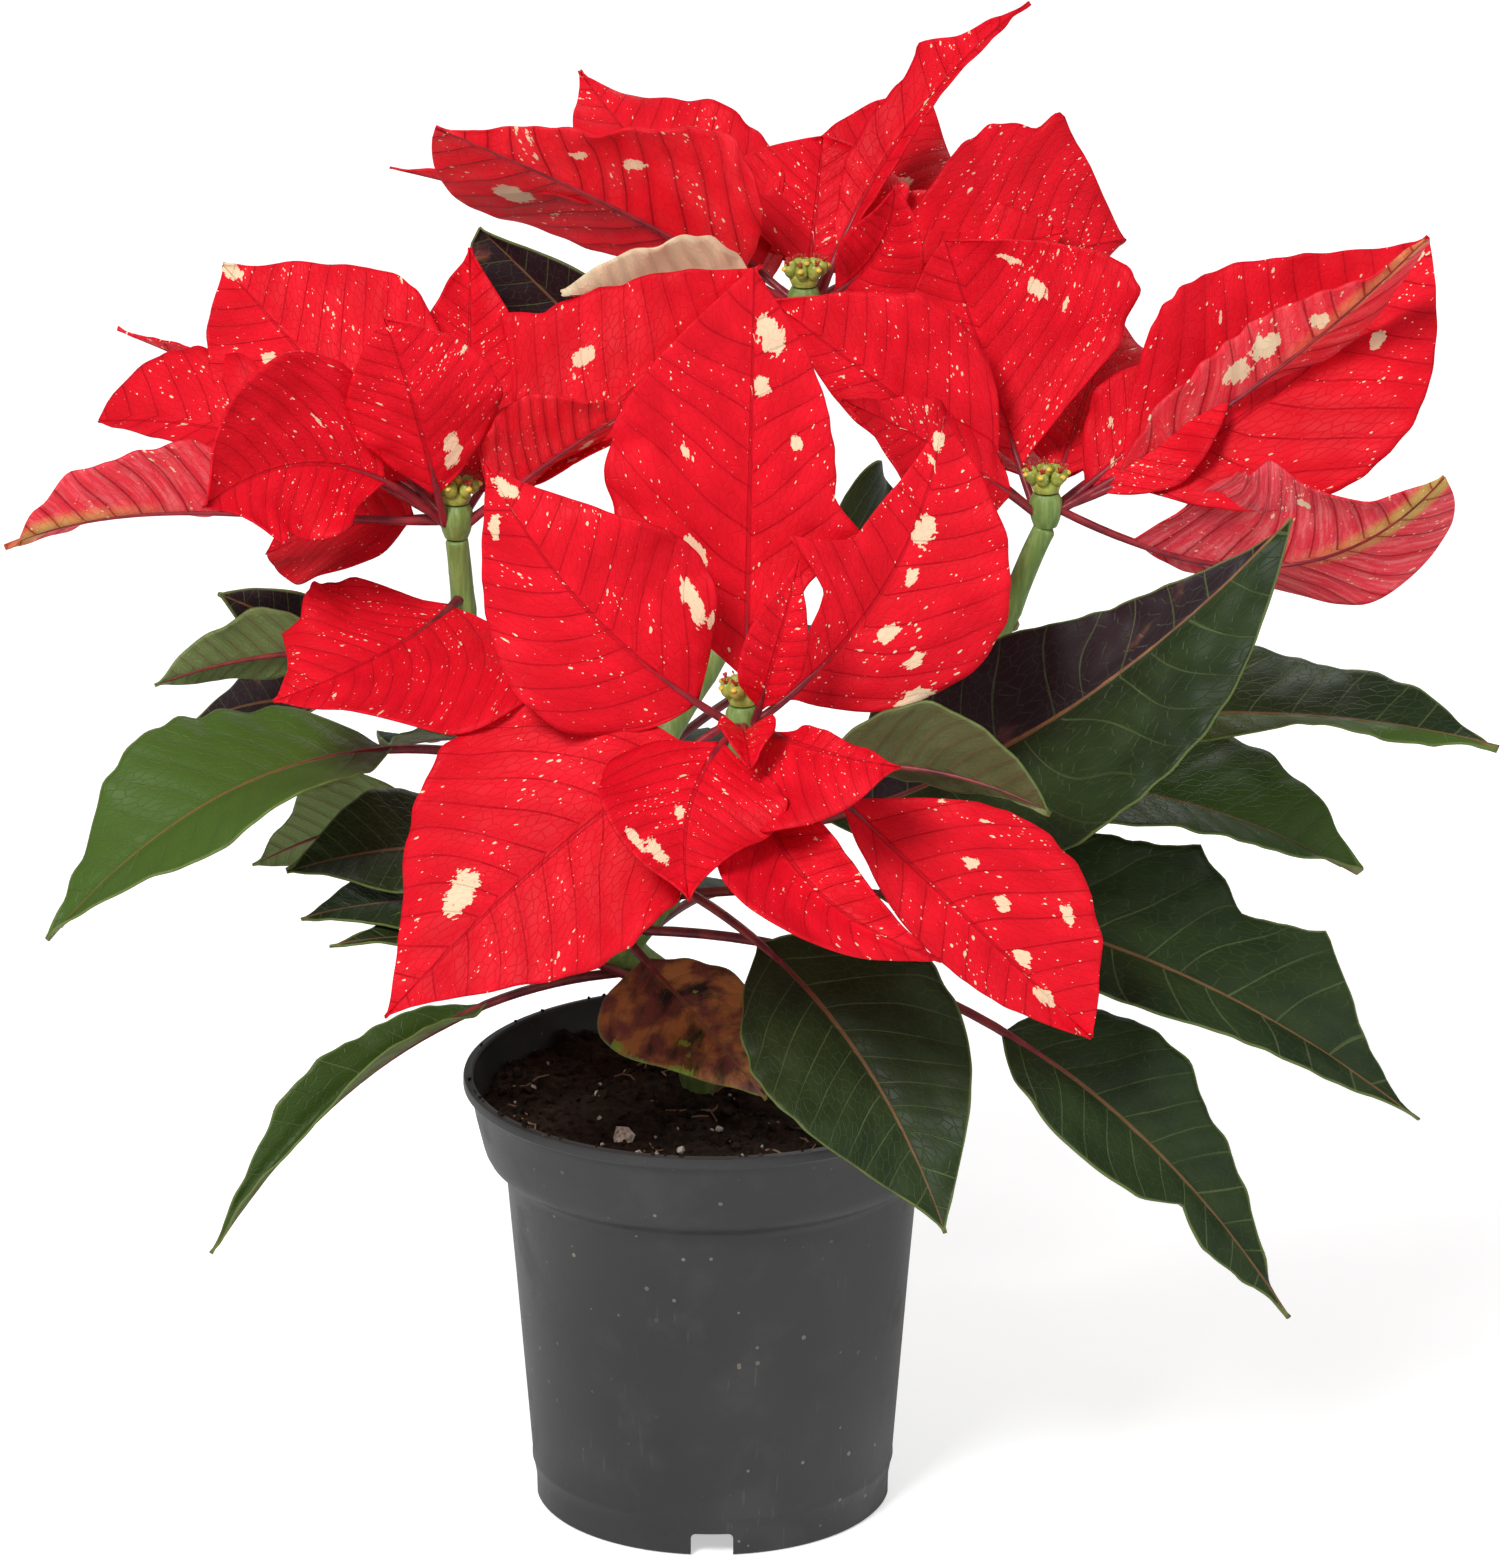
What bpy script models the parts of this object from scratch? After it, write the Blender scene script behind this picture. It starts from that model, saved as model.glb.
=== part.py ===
"""Poinsettia in a nursery pot, as separate closed solids.

Metres, +Z up. The origin is the centre of the pot's base, on the surface that the pot stands on.
The plant's own shapes are given in millimetres and scaled by MM where a mesh is made.
+X is to the right and +Y to the back of the plant.
"""
import math
from dataclasses import dataclass

import bmesh
import bpy
from mathutils import Matrix, Vector

MM = 0.001
GAP = 0.3

# Pot, in mm
POT_HEIGHT = 117.5
RIM_RADIUS = 65.0
LIP_HEIGHT = 3.0
LIP_WIDTH = 1.6
COLLAR_HEIGHT = 22.0
COLLAR_FOOT_RADIUS = 59.6
BODY_TOP_RADIUS = 54.0
FOOT_RADIUS = 46.8
FOOT_HEIGHT = 6.5
FOOT_WIDTH = 2.2
WALL = 1.3
FLOOR = 1.6
PAD_RADIUS = 15.0
DRAIN_HOLES = 6
DRAIN_RADIUS = 3.5
DRAIN_CIRCLE = 31.0
NOTCHES = 4
NOTCH_WIDTH = 11.0
POT_SIDES = 26

# Soil and stem, in mm
SOIL_TOP = 108.0
SOIL_LUMP = 1.4
SOIL_HEAP = 3.0
STEM_SIDES = 10
TRUNK_RADIUS = 4.8
STEM_DEPTH = 40.0
FOOT = Vector((-4, 14, 112))
FOOT_LEAN = Vector((-7, -1, 30)).normalized()
FORK = Vector((-26, 6, 152))

# Blades, in mm
BLADE_THICKNESS = 0.75
RIB_THICKNESS = 1.3
STALK_THICKNESS = 2.2
STALK_HALF_WIDTH = 1.1
TIP_HALF_WIDTH = 0.5
COLUMNS = (-1.0, -0.5, 0.0, 0.5, 1.0)
ROWS = (0.05, 0.22, 0.42, 0.62, 0.82, 1.0)
LOBE_REACH = 0.09
OUTLINE_POWER = 2.15

# Bloom hearts, in mm
CORE_RADIUS = 4.6
CORE_HEIGHT = 9.0
BUD_COUNT = 6
BUD_RADIUS = 2.0
BUD_RING = 3.4
HEART_RISE = 7.0


@dataclass
class Blade:
    """One leaf or bract. Lengths in mm, angles in degrees, the rest shares of length or width."""
    tip: tuple
    halves: tuple
    face: tuple = (0, 0, 1)
    stalk: float = 0.14
    belly: tuple = (0.42, 0.42)
    arch: float = 0.0
    hook: float = 0.0
    bow: float = 0.0
    fold: tuple = (10, 10)
    cup: tuple = (0, 0)
    wave: float = 0.04
    waves: float = 2.0
    lobes: tuple = ()


# Branches: from the fork to where the bracts grow, through these points
BRANCHES = {
    "front": (Vector((-13, -14, 176)), Vector((2, -42, 204)), Vector((8, -60, 228))),
    "left": (Vector((-42, 6, 182)), Vector((-60, 0, 222)), Vector((-65, -5, 264))),
    "back": (Vector((-18, 26, 188)), Vector((12, 48, 240)), Vector((24, 55, 305))),
    "right": (Vector((4, 12, 178)), Vector((62, 15, 214)), Vector((86, 15, 261))),
}
BRANCH_RADII = (4.2, 3.1)

# Bracts of each bloom. tip is measured from the heart of the bloom.
BLOOMS = {
    "front": {
        "top": Blade((3, 18, 110), (36, 22), (0, -1, 0.2), stalk=0.08, belly=(0.5, 0.5),
                     arch=-0.06, fold=(8, 12), lobes=((1, 0.34, 0.5),)),
        "left": Blade((-64, 5, 64), (27, 31), (-0.1, -0.95, 0.3), stalk=0.1, belly=(0.37, 0.37),
                      arch=0.04, bow=-0.07, fold=(4, 14), wave=0.05),
        "right": Blade((50, 12, 73), (13, 31), (0.1, -0.95, 0.3), stalk=0.1, belly=(0.46, 0.46),
                       arch=-0.03, bow=0.11, lobes=((-1, 0.44, 1.2),)),
        "small_upright": Blade((14, -14, 44), (9, 8), (0.1, -0.9, 0.4), arch=0.1,
                               fold=(20, 20)),
        "low_left": Blade((-89, -28, -71), (33, 39), (-0.15, -0.85, 0.5), stalk=0.1,
                          belly=(0.38, 0.38), arch=0.05, bow=0.02, fold=(8, 4)),
        "low_middle": Blade((-13, -52, -32), (24, 24), (0, -0.5, 0.85), arch=0.05, bow=0.1),
        "small_folded": Blade((2, -30, -5), (9, 9), (0, -0.5, 0.9), arch=0.08, fold=(35, 35)),
        "short_right": Blade((39, -32, -4), (5, 28), (0.1, -0.8, 0.6), arch=0.05, bow=0.06),
        "low_right": Blade((87, -24, -78), (29, 14), (0.1, -0.9, 0.4), stalk=0.24,
                           belly=(0.54, 0.5), arch=0.04, fold=(6, 16)),
        "low_curled": Blade((49, -52, -47), (13, 22), (-0.1, -0.75, 0.65), arch=0.04, bow=0.18,
                            fold=(15, 25), cup=(30, 20)),
    },
    "left": {
        "far_left": Blade((-114, -17, -4), (20, 20), (0, 0.5, 0.85), stalk=0.3, arch=0.05,
                          fold=(45, 10), hook=0.04),
        "cup": Blade((-62, -40, 13), (22, 31), (-0.1, -0.9, 0.4), stalk=0.25, belly=(0.5, 0.5), bow=0.18,
                     cup=(30, 25), lobes=((-1, 0.8, 0.3),)),
        "left_back": Blade((-93, 33, 14), (7, 21), (0, -0.6, 0.8), belly=(0.6, 0.7), arch=0.13,
                           fold=(10, 20)),
        "thin": Blade((-89, 50, 34), (13, 13), (0.2, 0.2, 0.95), arch=0.04, fold=(25, 25)),
        "upper": Blade((-61, 47, 52), (26, 33), (-0.2, -0.75, 0.6), belly=(0.5, 0.44), arch=0.03),
        "upright": Blade((3, 39, 59), (15, 17), (-0.2, -0.95, 0.3), arch=-0.06),
        "middle": Blade((-17, -15, 55), (17, 22), (0.2, -0.9, 0.4), belly=(0.55, 0.55), arch=0.07,
                        fold=(-25, 20)),
        "middle_right": Blade((47, -13, 32), (15, 20), (-0.1, 0.75, 0.65), arch=0.03,
                              fold=(30, 20)),
        "right": Blade((78, 25, 58), (30, 13), (-0.3, -0.6, 0.7), arch=-0.04, fold=(30, 25),
                       lobes=((-1, 0.3, 0.3),)),
        "rear_low": Blade((-50, 34, -22), (20, 25), (-0.2, -0.6, 0.75), arch=0.08),
        "back": Blade((-28, 62, 2), (23, 23), (0, 0.1, 1), arch=0.06),
        "back_right": Blade((30, 60, 14), (22, 22), (0, 0, 1), arch=0.06),
    },
    "back": {
        "left": Blade((-95, -11, 47), (33, 29), (0.1, 0.8, 0.55), belly=(0.27, 0.66), arch=0.03),
        "thin": Blade((-108, 15, 30), (13, 13), (0, 0.3, 0.95), arch=0.03, fold=(20, 20)),
        "top_left": Blade((-59, 53, 46), (24, 27), (-0.1, -0.6, 0.75), belly=(0.42, 0.36),
                          arch=0.03, bow=-0.04),
        "top_long": Blade((58, 15, 74), (10, 5), (-0.5, -0.6, 0.5), belly=(0.42, 0.32), arch=-0.04,
                          bow=-0.13, fold=(25, 15), lobes=((-1, 0.66, 0.5),)),
        "pointed": Blade((33, 57, 42), (22, 22), (-0.2, -0.9, 0.3), arch=-0.04),
        "right": Blade((85, 32, 6), (36, 14), (-0.1, -0.9, 0.4), belly=(0.62, 0.5), arch=0.03,
                       lobes=((-1, 0.84, 0.25),)),
        "inner_right": Blade((69, 20, 11), (20, 20), (-0.2, -0.6, 0.7), arch=0.03, wave=0.07),
        "cup": Blade((23, -16, 33), (10, 15), (0.1, -0.9, 0.4), arch=-0.05, bow=0.13,
                     fold=(20, 20)),
        "cream": Blade((-62, -35, 9), (18, 8), (0, 0.9, 0.35), arch=0.03),
        "rear": Blade((16, 82, 6), (25, 25), (0, 0.1, 1), arch=0.08),
        "rear_left": Blade((-52, 66, -4), (23, 23), (0, 0, 1), arch=0.08),
        "rear_right": Blade((62, 60, -6), (23, 23), (0, 0, 1), arch=0.08),
        "rise": Blade((5, 30, 34), (26, 24), (0, -0.9, 0.4), belly=(0.58, 0.58)),
    },
    "right": {
        "upright": Blade((-26, 22, 63), (18, 45), (0, -0.95, 0.3), belly=(0.6, 0.6), arch=-0.07,
                         cup=(15, 15)),
        "round": Blade((99, 30, 62), (36, 32), (0, -0.9, 0.4), belly=(0.42, 0.5), arch=0.03,
                       bow=0.08),
        "inner": Blade((50, 10, 38), (17, 17), (-0.2, -0.8, 0.5), arch=-0.03),
        "folded": Blade((95, -10, 72), (17, 16), (-0.3, 0.75, 0.55), belly=(0.68, 0.36), arch=0.03,
                        bow=-0.1, fold=(20, 15)),
        "pink": Blade((100, -27, 14), (20, 34), (0, 0.85, 0.5), stalk=0.15, belly=(0.6, 0.36),
                      arch=0.02, bow=-0.3, wave=0.07),
        "left": Blade((-53, -23, 33), (23, 12), (0, -0.6, 0.8), arch=0.04),
        "left_high": Blade((-71, 7, 51), (12, 26), (0.1, -0.9, 0.4), belly=(0.42, 0.46),
                           arch=0.05),
        "rear_dark": Blade((20, 55, 35), (20, 20), (0, -0.6, 0.8), arch=0.04),
        "rear_right": Blade((66, 58, 8), (23, 23), (0, 0, 1), arch=0.08),
        "rear": Blade((4, 74, -6), (22, 22), (0, 0, 1), arch=0.08),
    },
}

# Leaves: branch, place along it from 0 to 1, and the blade. tip is a place in the plant.
LEAVES = {
    "bract_left_low": ("left", 0.88, Blade((-110, -48, 234), (44, 28), (-0.2, -0.6, 0.75),
                                           stalk=0.05, belly=(0.4, 0.42), arch=0.05, bow=-0.1,
                                           lobes=((1, 0.78, 0.3),))),
    "leaf_left_long": ("left", 0.52, Blade((-168, -50, 171), (24, 28), (-0.2, -0.35, 0.9),
                                           stalk=0.22, arch=0.18, fold=(14, 14))),
    "leaf_left_jagged": ("left", 0.38, Blade((-120, 15, 169), (16, 16), (0.1, 0.8, 0.6),
                                            stalk=0.35, arch=0.1,
                                            lobes=((1, 0.5, 0.5), (-1, 0.6, 0.4)))),
    "leaf_left_dark": ("left", 0.27, Blade((-109, -20, 179), (16, 18), (0, -0.5, 0.85), stalk=0.25,
                                           arch=0.1)),
    "leaf_left_lower": ("left", 0.08, Blade((-105, -30, 170), (15, 15), (0, -0.3, 0.95),
                                            stalk=0.3, arch=0.1)),
    "leaf_left_small": ("trunk", 0.72, Blade((-97, -42, 167), (10, 10), (0, -0.3, 0.95),
                                             stalk=0.3, arch=0.08)),
    "leaf_left_hanging": ("trunk", 0.86, Blade((-128, -58, 89), (15, 10), (-0.5, -0.5, 0.7),
                                               stalk=0.3, arch=0.16, fold=(45, 45))),
    "leaf_left_pale": ("left", 0.72, Blade((-142, -18, 229), (14, 9), (0, 0.9, 0.4),
                                           stalk=0.4, arch=0.06, bow=-0.05)),
    "leaf_left_purple": ("left", 0.56, Blade((-135, 16, 207), (10, 10), (0, -0.6, 0.8),
                                             stalk=0.5, arch=0.2)),
    "leaf_left_glossy": ("left", 0.62, Blade((-126, -7, 250), (9, 9), (-0.4, -0.8, 0.3), stalk=0.5,
                                             arch=-0.05)),
    "leaf_right_big": ("right", 0.36, Blade((146, -30, 277), (27, 34), (-0.3, -0.85, 0.45),
                                            stalk=0.15, belly=(0.32, 0.5), arch=0.05, bow=0.1)),
    "leaf_right_wavy": ("right", 0.5, Blade((205, 20, 200), (25, 11), (0.1, -0.4, 0.9), stalk=0.3,
                                            arch=0.1, wave=0.1)),
    "leaf_right_middle": ("right", 0.42, Blade((168, 10, 168), (30, 17), (0.3, -0.4, 0.85),
                                               stalk=0.3, belly=(0.52, 0.42), arch=0.14)),
    "leaf_right_notched": ("right", 0.2, Blade((182, -30, 115), (30, 17), (0.3, -0.6, 0.75),
                                               stalk=0.25, arch=0.17,
                                               lobes=((-1, 0.5, 0.25), (-1, 0.74, 0.35)))),
    "leaf_right_low": ("front", 0.15, Blade((148, -62, 73), (24, 19), (0.4, -0.6, 0.7), stalk=0.5,
                                            belly=(0.3, 0.36), arch=0.21,
                                            lobes=((1, 0.62, -0.4),))),
    "leaf_front_pale": ("front", 0.75, Blade((85, -78, 215), (8, 21), (0.1, 0.8, 0.5), stalk=0.25,
                                             belly=(0.42, 0.54), arch=0.06, bow=0.1)),
    "leaf_front_hanging": ("front", 0.35, Blade((59, -92, 108), (28, 27), (0.2, -0.85, 0.4),
                                                stalk=0.25, arch=0.08, bow=-0.07)),
    "leaf_front_purple": ("front", 0.1, Blade((14, -50, 128), (15, 23), (0.1, -0.85, 0.4),
                                              stalk=0.1, belly=(0.5, 0.32), arch=0.05)),
    "leaf_back_dark": ("back", 0.74, Blade((-60, 48, 332), (14, 14), (-0.3, -0.9, 0.3), stalk=0.3,
                                           belly=(0.72, 0.42))),
    "leaf_rear_left": ("back", 0.3, Blade((-90, 90, 175), (26, 26), (-0.3, 0.4, 0.85),
                                          stalk=0.28, arch=0.1)),
    "leaf_rear_middle": ("back", 0.2, Blade((-20, 140, 160), (27, 27), (0, 0.5, 0.85),
                                            stalk=0.28, arch=0.1)),
    "leaf_rear_right": ("back", 0.4, Blade((70, 125, 190), (27, 27), (0.3, 0.4, 0.85),
                                           stalk=0.28, arch=0.1)),
    "leaf_rear_high": ("back", 0.7, Blade((51, 92, 226), (24, 24), (0.2, -0.8, 0.5), stalk=0.28,
                                          arch=0.14)),
    "leaf_rear_side": ("left", 0.4, Blade((-104, 78, 196), (20, 20), (-0.2, 0.4, 0.85),
                                          stalk=0.3, arch=0.1)),
    "leaf_rear_low": ("trunk", 0.85, Blade((30, 115, 118), (23, 23), (0.2, 0.6, 0.75),
                                           stalk=0.3, arch=0.1)),
}


def clear_scene():
    for obj in list(bpy.data.objects):
        bpy.data.objects.remove(obj, do_unlink=True)


def make_material(name, colour, roughness):
    material = bpy.data.materials.new(name)
    material.use_nodes = True
    shader = material.node_tree.nodes["Principled BSDF"]
    shader.inputs["Base Color"].default_value = (*colour, 1.0)
    shader.inputs["Roughness"].default_value = roughness
    shader.inputs["Metallic"].default_value = 0.0
    return material


def place_object(name, bm, material, sharp=40.0):
    """A finished bmesh in metres becomes one named, shaded object."""
    bmesh.ops.recalc_face_normals(bm, faces=bm.faces)
    mesh = bpy.data.meshes.new(name)
    bm.to_mesh(mesh)
    bm.free()
    mesh.shade_smooth()
    mesh.set_sharp_from_angle(angle=math.radians(sharp))
    obj = bpy.data.objects.new(name, mesh)
    bpy.context.scene.collection.objects.link(obj)
    if material:
        mesh.materials.append(material)
    return obj


def boolean(target, operation, pieces, solver="EXACT"):
    """Applies one Boolean between target and a collection of pieces, then removes the pieces."""
    tools = bpy.data.collections.new("tools")
    bpy.context.scene.collection.children.link(tools)
    for piece in pieces:
        bpy.context.scene.collection.objects.unlink(piece)
        tools.objects.link(piece)
    modifier = target.modifiers.new("join", "BOOLEAN")
    modifier.operation = operation
    modifier.operand_type = "COLLECTION"
    modifier.collection = tools
    modifier.solver = solver
    bpy.context.view_layer.update()
    result = bpy.data.meshes.new_from_object(target.evaluated_get(
        bpy.context.evaluated_depsgraph_get()))
    target.modifiers.remove(modifier)
    target.data = result
    for piece in pieces:
        bpy.data.objects.remove(piece, do_unlink=True)
    bpy.data.collections.remove(tools)
    return target


def outer_shell(obj):
    """Keeps only the largest shell of a joined solid, so that bracts that cross leave no hollow."""
    bm = bmesh.new()
    bm.from_mesh(obj.data)
    left = set(bm.verts)
    shells = []
    while left:
        shell = set()
        front = [left.pop()]
        while front:
            vert = front.pop()
            shell.add(vert)
            linked = [edge.other_vert(vert) for edge in vert.link_edges]
            front += [other for other in linked if other in left]
            left.difference_update(linked)
        shells.append(shell)
    shells.sort(key=len)
    for shell in shells[:-1]:
        bmesh.ops.delete(bm, geom=list(shell), context="VERTS")
    bm.to_mesh(obj.data)
    bm.free()
    return obj


def turned(profile, sides):
    """A closed profile of (radius, height) in mm, spun round the Z axis."""
    bm = bmesh.new()
    verts = [bm.verts.new((r * MM, 0, z * MM)) for r, z in profile]
    for a, b in zip(verts, verts[1:]):
        bm.edges.new((a, b))
    bmesh.ops.spin(bm, geom=bm.verts[:] + bm.edges[:], axis=(0, 0, 1), cent=(0, 0, 0),
                   angle=2 * math.pi, steps=sides)
    bmesh.ops.remove_doubles(bm, verts=bm.verts, dist=1e-6)
    return bm


def drum(name, radius, low, high, sides=12):
    """A plain round cutter whose axis runs from one point to another, in mm."""
    bm = bmesh.new()
    axis = high - low
    turn = Vector((0, 0, 1)).rotation_difference(axis).to_matrix().to_4x4()
    shift = Matrix.Translation((low + high) / 2 * MM)
    bmesh.ops.create_cone(bm, cap_ends=True, segments=sides, radius1=radius * MM,
                          radius2=radius * MM, depth=axis.length * MM, matrix=shift @ turn)
    return place_object(name, bm, None)


def inner_wall():
    """Radius and height of the pot's inner side, from the floor up, in mm."""
    step = POT_HEIGHT - COLLAR_HEIGHT
    floor = FOOT_HEIGHT + FLOOR
    return [
        (0, FLOOR),
        (PAD_RADIUS - FLOOR * 0.5, FLOOR),
        (PAD_RADIUS + FLOOR, floor),
        (FOOT_RADIUS - WALL, floor),
        (BODY_TOP_RADIUS - WALL, step - 3.0),
        (BODY_TOP_RADIUS + 1.6, step - 0.6),
        (COLLAR_FOOT_RADIUS - WALL, step + 3.6),
        (RIM_RADIUS - LIP_WIDTH - WALL, POT_HEIGHT - LIP_HEIGHT),
        (RIM_RADIUS - LIP_WIDTH - WALL * 0.7, POT_HEIGHT),
    ]


def make_pot():
    step = POT_HEIGHT - COLLAR_HEIGHT
    outer = [
        (RIM_RADIUS - 0.5, POT_HEIGHT),
        (RIM_RADIUS, POT_HEIGHT - 0.6),
        (RIM_RADIUS, POT_HEIGHT - LIP_HEIGHT),
        (RIM_RADIUS - LIP_WIDTH, POT_HEIGHT - LIP_HEIGHT - 0.8),
        (COLLAR_FOOT_RADIUS, step + 3.0),
        (COLLAR_FOOT_RADIUS - 1.6, step - 0.6),
        (BODY_TOP_RADIUS + 1.2, step - 2.4),
        (BODY_TOP_RADIUS, step - 4.6),
        (FOOT_RADIUS + 0.6, FOOT_HEIGHT + 0.5),
        (FOOT_RADIUS, FOOT_HEIGHT - 0.5),
        (FOOT_RADIUS - 0.2, 0),
        (FOOT_RADIUS - 0.2 - FOOT_WIDTH, 0),
        (FOOT_RADIUS - FOOT_WIDTH - 0.6, FOOT_HEIGHT),
        (PAD_RADIUS + FLOOR * 1.6, FOOT_HEIGHT),
        (PAD_RADIUS, 0),
        (0, 0),
    ]
    pot = place_object("pot", turned(inner_wall() + outer, POT_SIDES),
                       make_material("pot plastic", (0.022, 0.025, 0.028), 0.55))
    cutters = []
    for i in range(DRAIN_HOLES):
        angle = math.radians(360 / DRAIN_HOLES * (i + 0.5))
        spot = Vector((DRAIN_CIRCLE * math.cos(angle), DRAIN_CIRCLE * math.sin(angle), FOOT_HEIGHT))
        cutters.append(drum("drain", DRAIN_RADIUS, spot - Vector((0, 0, 2)),
                            spot + Vector((0, 0, FLOOR + 2)), 8))
    for i in range(NOTCHES):
        bm = bmesh.new()
        turn = Matrix.Rotation(math.radians(360 / NOTCHES * i), 4, "Z")
        size = Matrix.Diagonal((NOTCH_WIDTH * MM, 3 * FOOT_WIDTH * MM, 2 * FOOT_HEIGHT * MM, 1))
        shift = Matrix.Translation(Vector((0, -FOOT_RADIUS + FOOT_WIDTH / 2, -0.6)) * MM)
        bmesh.ops.create_cube(bm, size=1, matrix=turn @ shift @ size)
        cutters.append(place_object("notch", bm, None))
    return boolean(pot, "DIFFERENCE", cutters)


def soil_height(x, y):
    """Height of the soil in mm at a place in the pot: small lumps, heaped at the left and back."""
    lumps = (math.sin(x * 0.21 + 1.0) * math.cos(y * 0.19)
             + 0.6 * math.sin(x * 0.43 + y * 0.37 + 2.0))
    heap = max(0.0, (-x * 0.6 + y * 0.8) / RIM_RADIUS) ** 2
    return SOIL_TOP + SOIL_LUMP * lumps * 0.6 + SOIL_HEAP * heap


def make_soil():
    wall = inner_wall()
    step = POT_HEIGHT - COLLAR_HEIGHT
    side = [(max(r - GAP * 1.2, 0), z + GAP) for r, z in wall[:4]]
    side += [(r - GAP * 1.2, z) for r, z in wall[4:7]]
    side[-1] = (side[-1][0], step + 4.0)
    top_radius = RIM_RADIUS - LIP_WIDTH - WALL - GAP * 1.2 - 2.4
    side.append((top_radius, SOIL_TOP - 2.0))
    rings = [top_radius - 0.4, 44, 24, 0]
    bm = turned(side + [(r, SOIL_TOP) for r in rings], POT_SIDES)
    for vert in bm.verts:
        if vert.co.z > (SOIL_TOP - 0.1) * MM:
            vert.co.z = soil_height(vert.co.x / MM, vert.co.y / MM) * MM
    soil = place_object("soil", bm, make_material("peat", (0.035, 0.020, 0.013), 0.95))
    hole = drum("hole", TRUNK_RADIUS + GAP, FOOT - FOOT_LEAN * (STEM_DEPTH + GAP),
                FOOT + FOOT_LEAN * 12, STEM_SIDES)
    return boolean(soil, "DIFFERENCE", [hole])


def smooth_path(points, count):
    """Points along a smooth curve through the given ones."""
    ends = [points[0] * 2 - points[1]] + list(points) + [points[-1] * 2 - points[-2]]
    path = []
    for i in range(count):
        place = i / (count - 1) * (len(points) - 1)
        k = min(int(place), len(points) - 2)
        t = place - k
        a, b, c, d = ends[k:k + 4]
        path.append(0.5 * ((2 * b) + (c - a) * t + (2 * a - 5 * b + 4 * c - d) * t * t
                           + (3 * b - a - 3 * c + d) * t ** 3))
    return path


def branch_points(name):
    """Middle line of the trunk or of a branch, in mm."""
    if name == "trunk":
        return [FOOT, FOOT + FOOT_LEAN * 20, FORK]
    return [FORK - Vector((0, 0, 6))] + list(BRANCHES[name])


def branch_at(name, place):
    """Point, direction and radius of a branch at place, from 0 to 1 along it."""
    path = smooth_path(branch_points(name), 41)
    i = min(39, max(1, round(place * 40)))
    start, end = (TRUNK_RADIUS, TRUNK_RADIUS) if name == "trunk" else BRANCH_RADII
    return path[i], (path[i + 1] - path[i - 1]).normalized(), start + (end - start) * place


def tube(name, path, radii, level_end=False):
    """A round tube through the path, with flat ends."""
    bm = bmesh.new()
    rings = []
    for i, point in enumerate(path):
        along = path[min(i + 1, len(path) - 1)] - path[max(i - 1, 0)]
        if level_end and i == len(path) - 1:
            along = Vector((0, 0, 1))
        turn = Vector((0, 0, 1)).rotation_difference(along)
        radius = radii[0] + (radii[1] - radii[0]) * i / (len(path) - 1)
        ring = []
        for k in range(STEM_SIDES):
            angle = 2 * math.pi * k / STEM_SIDES
            spoke = Vector((math.cos(angle), math.sin(angle), 0)) * radius
            ring.append(bm.verts.new((point + turn @ spoke) * MM))
        rings.append(ring)
    for low, high in zip(rings, rings[1:]):
        for k in range(STEM_SIDES):
            n = (k + 1) % STEM_SIDES
            bm.faces.new((low[k], low[n], high[n], high[k]))
    bm.faces.new(rings[0])
    bm.faces.new(rings[-1])
    return place_object(name, bm, None)


def make_stem():
    root = FOOT - FOOT_LEAN * STEM_DEPTH
    trunk = tube("stem", [root] + smooth_path(branch_points("trunk"), 5),
                 (TRUNK_RADIUS, TRUNK_RADIUS))
    trunk.data.materials.append(make_material("green stem", (0.16, 0.27, 0.06), 0.5))
    limbs = []
    for name in BRANCHES:
        path = smooth_path(branch_points(name), 8)
        limbs.append(tube("limb", path, BRANCH_RADII, level_end=True))
    return boolean(trunk, "UNION", limbs)


def half_width(blade, side, along):
    """Half width of a blade in mm at a place along it, past its stalk."""
    belly = blade.belly[side > 0]
    rise = OUTLINE_POWER * belly
    fall = OUTLINE_POWER - rise
    peak = belly ** rise * (1 - belly) ** fall
    outline = along ** rise * (1 - along) ** fall / peak
    for lobe_side, place, size in blade.lobes:
        if lobe_side == side:
            outline += size * max(0.0, 1 - abs(along - place) / LOBE_REACH)
    least = TIP_HALF_WIDTH if along > 0.5 else STALK_HALF_WIDTH
    return max(least, blade.halves[side > 0] * outline)


def blade_frame(blade, reach):
    """Direction, upper side and right-hand side of a blade's straight line."""
    along = reach.normalized()
    face = Vector(blade.face)
    face = (face - along * face.dot(along)).normalized()
    return along, face, along.cross(face)


def spine(blade, reach, t):
    """Middle line of a blade, from its stalk's start at t = 0 to its tip at t = 1."""
    face, right = blade_frame(blade, reach)[1:]
    swell = 4 * t * (1 - t) * reach.length
    rise = blade.arch + blade.hook * (2 * t - 1)
    return reach * t + face * swell * rise + right * swell * blade.bow


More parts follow.
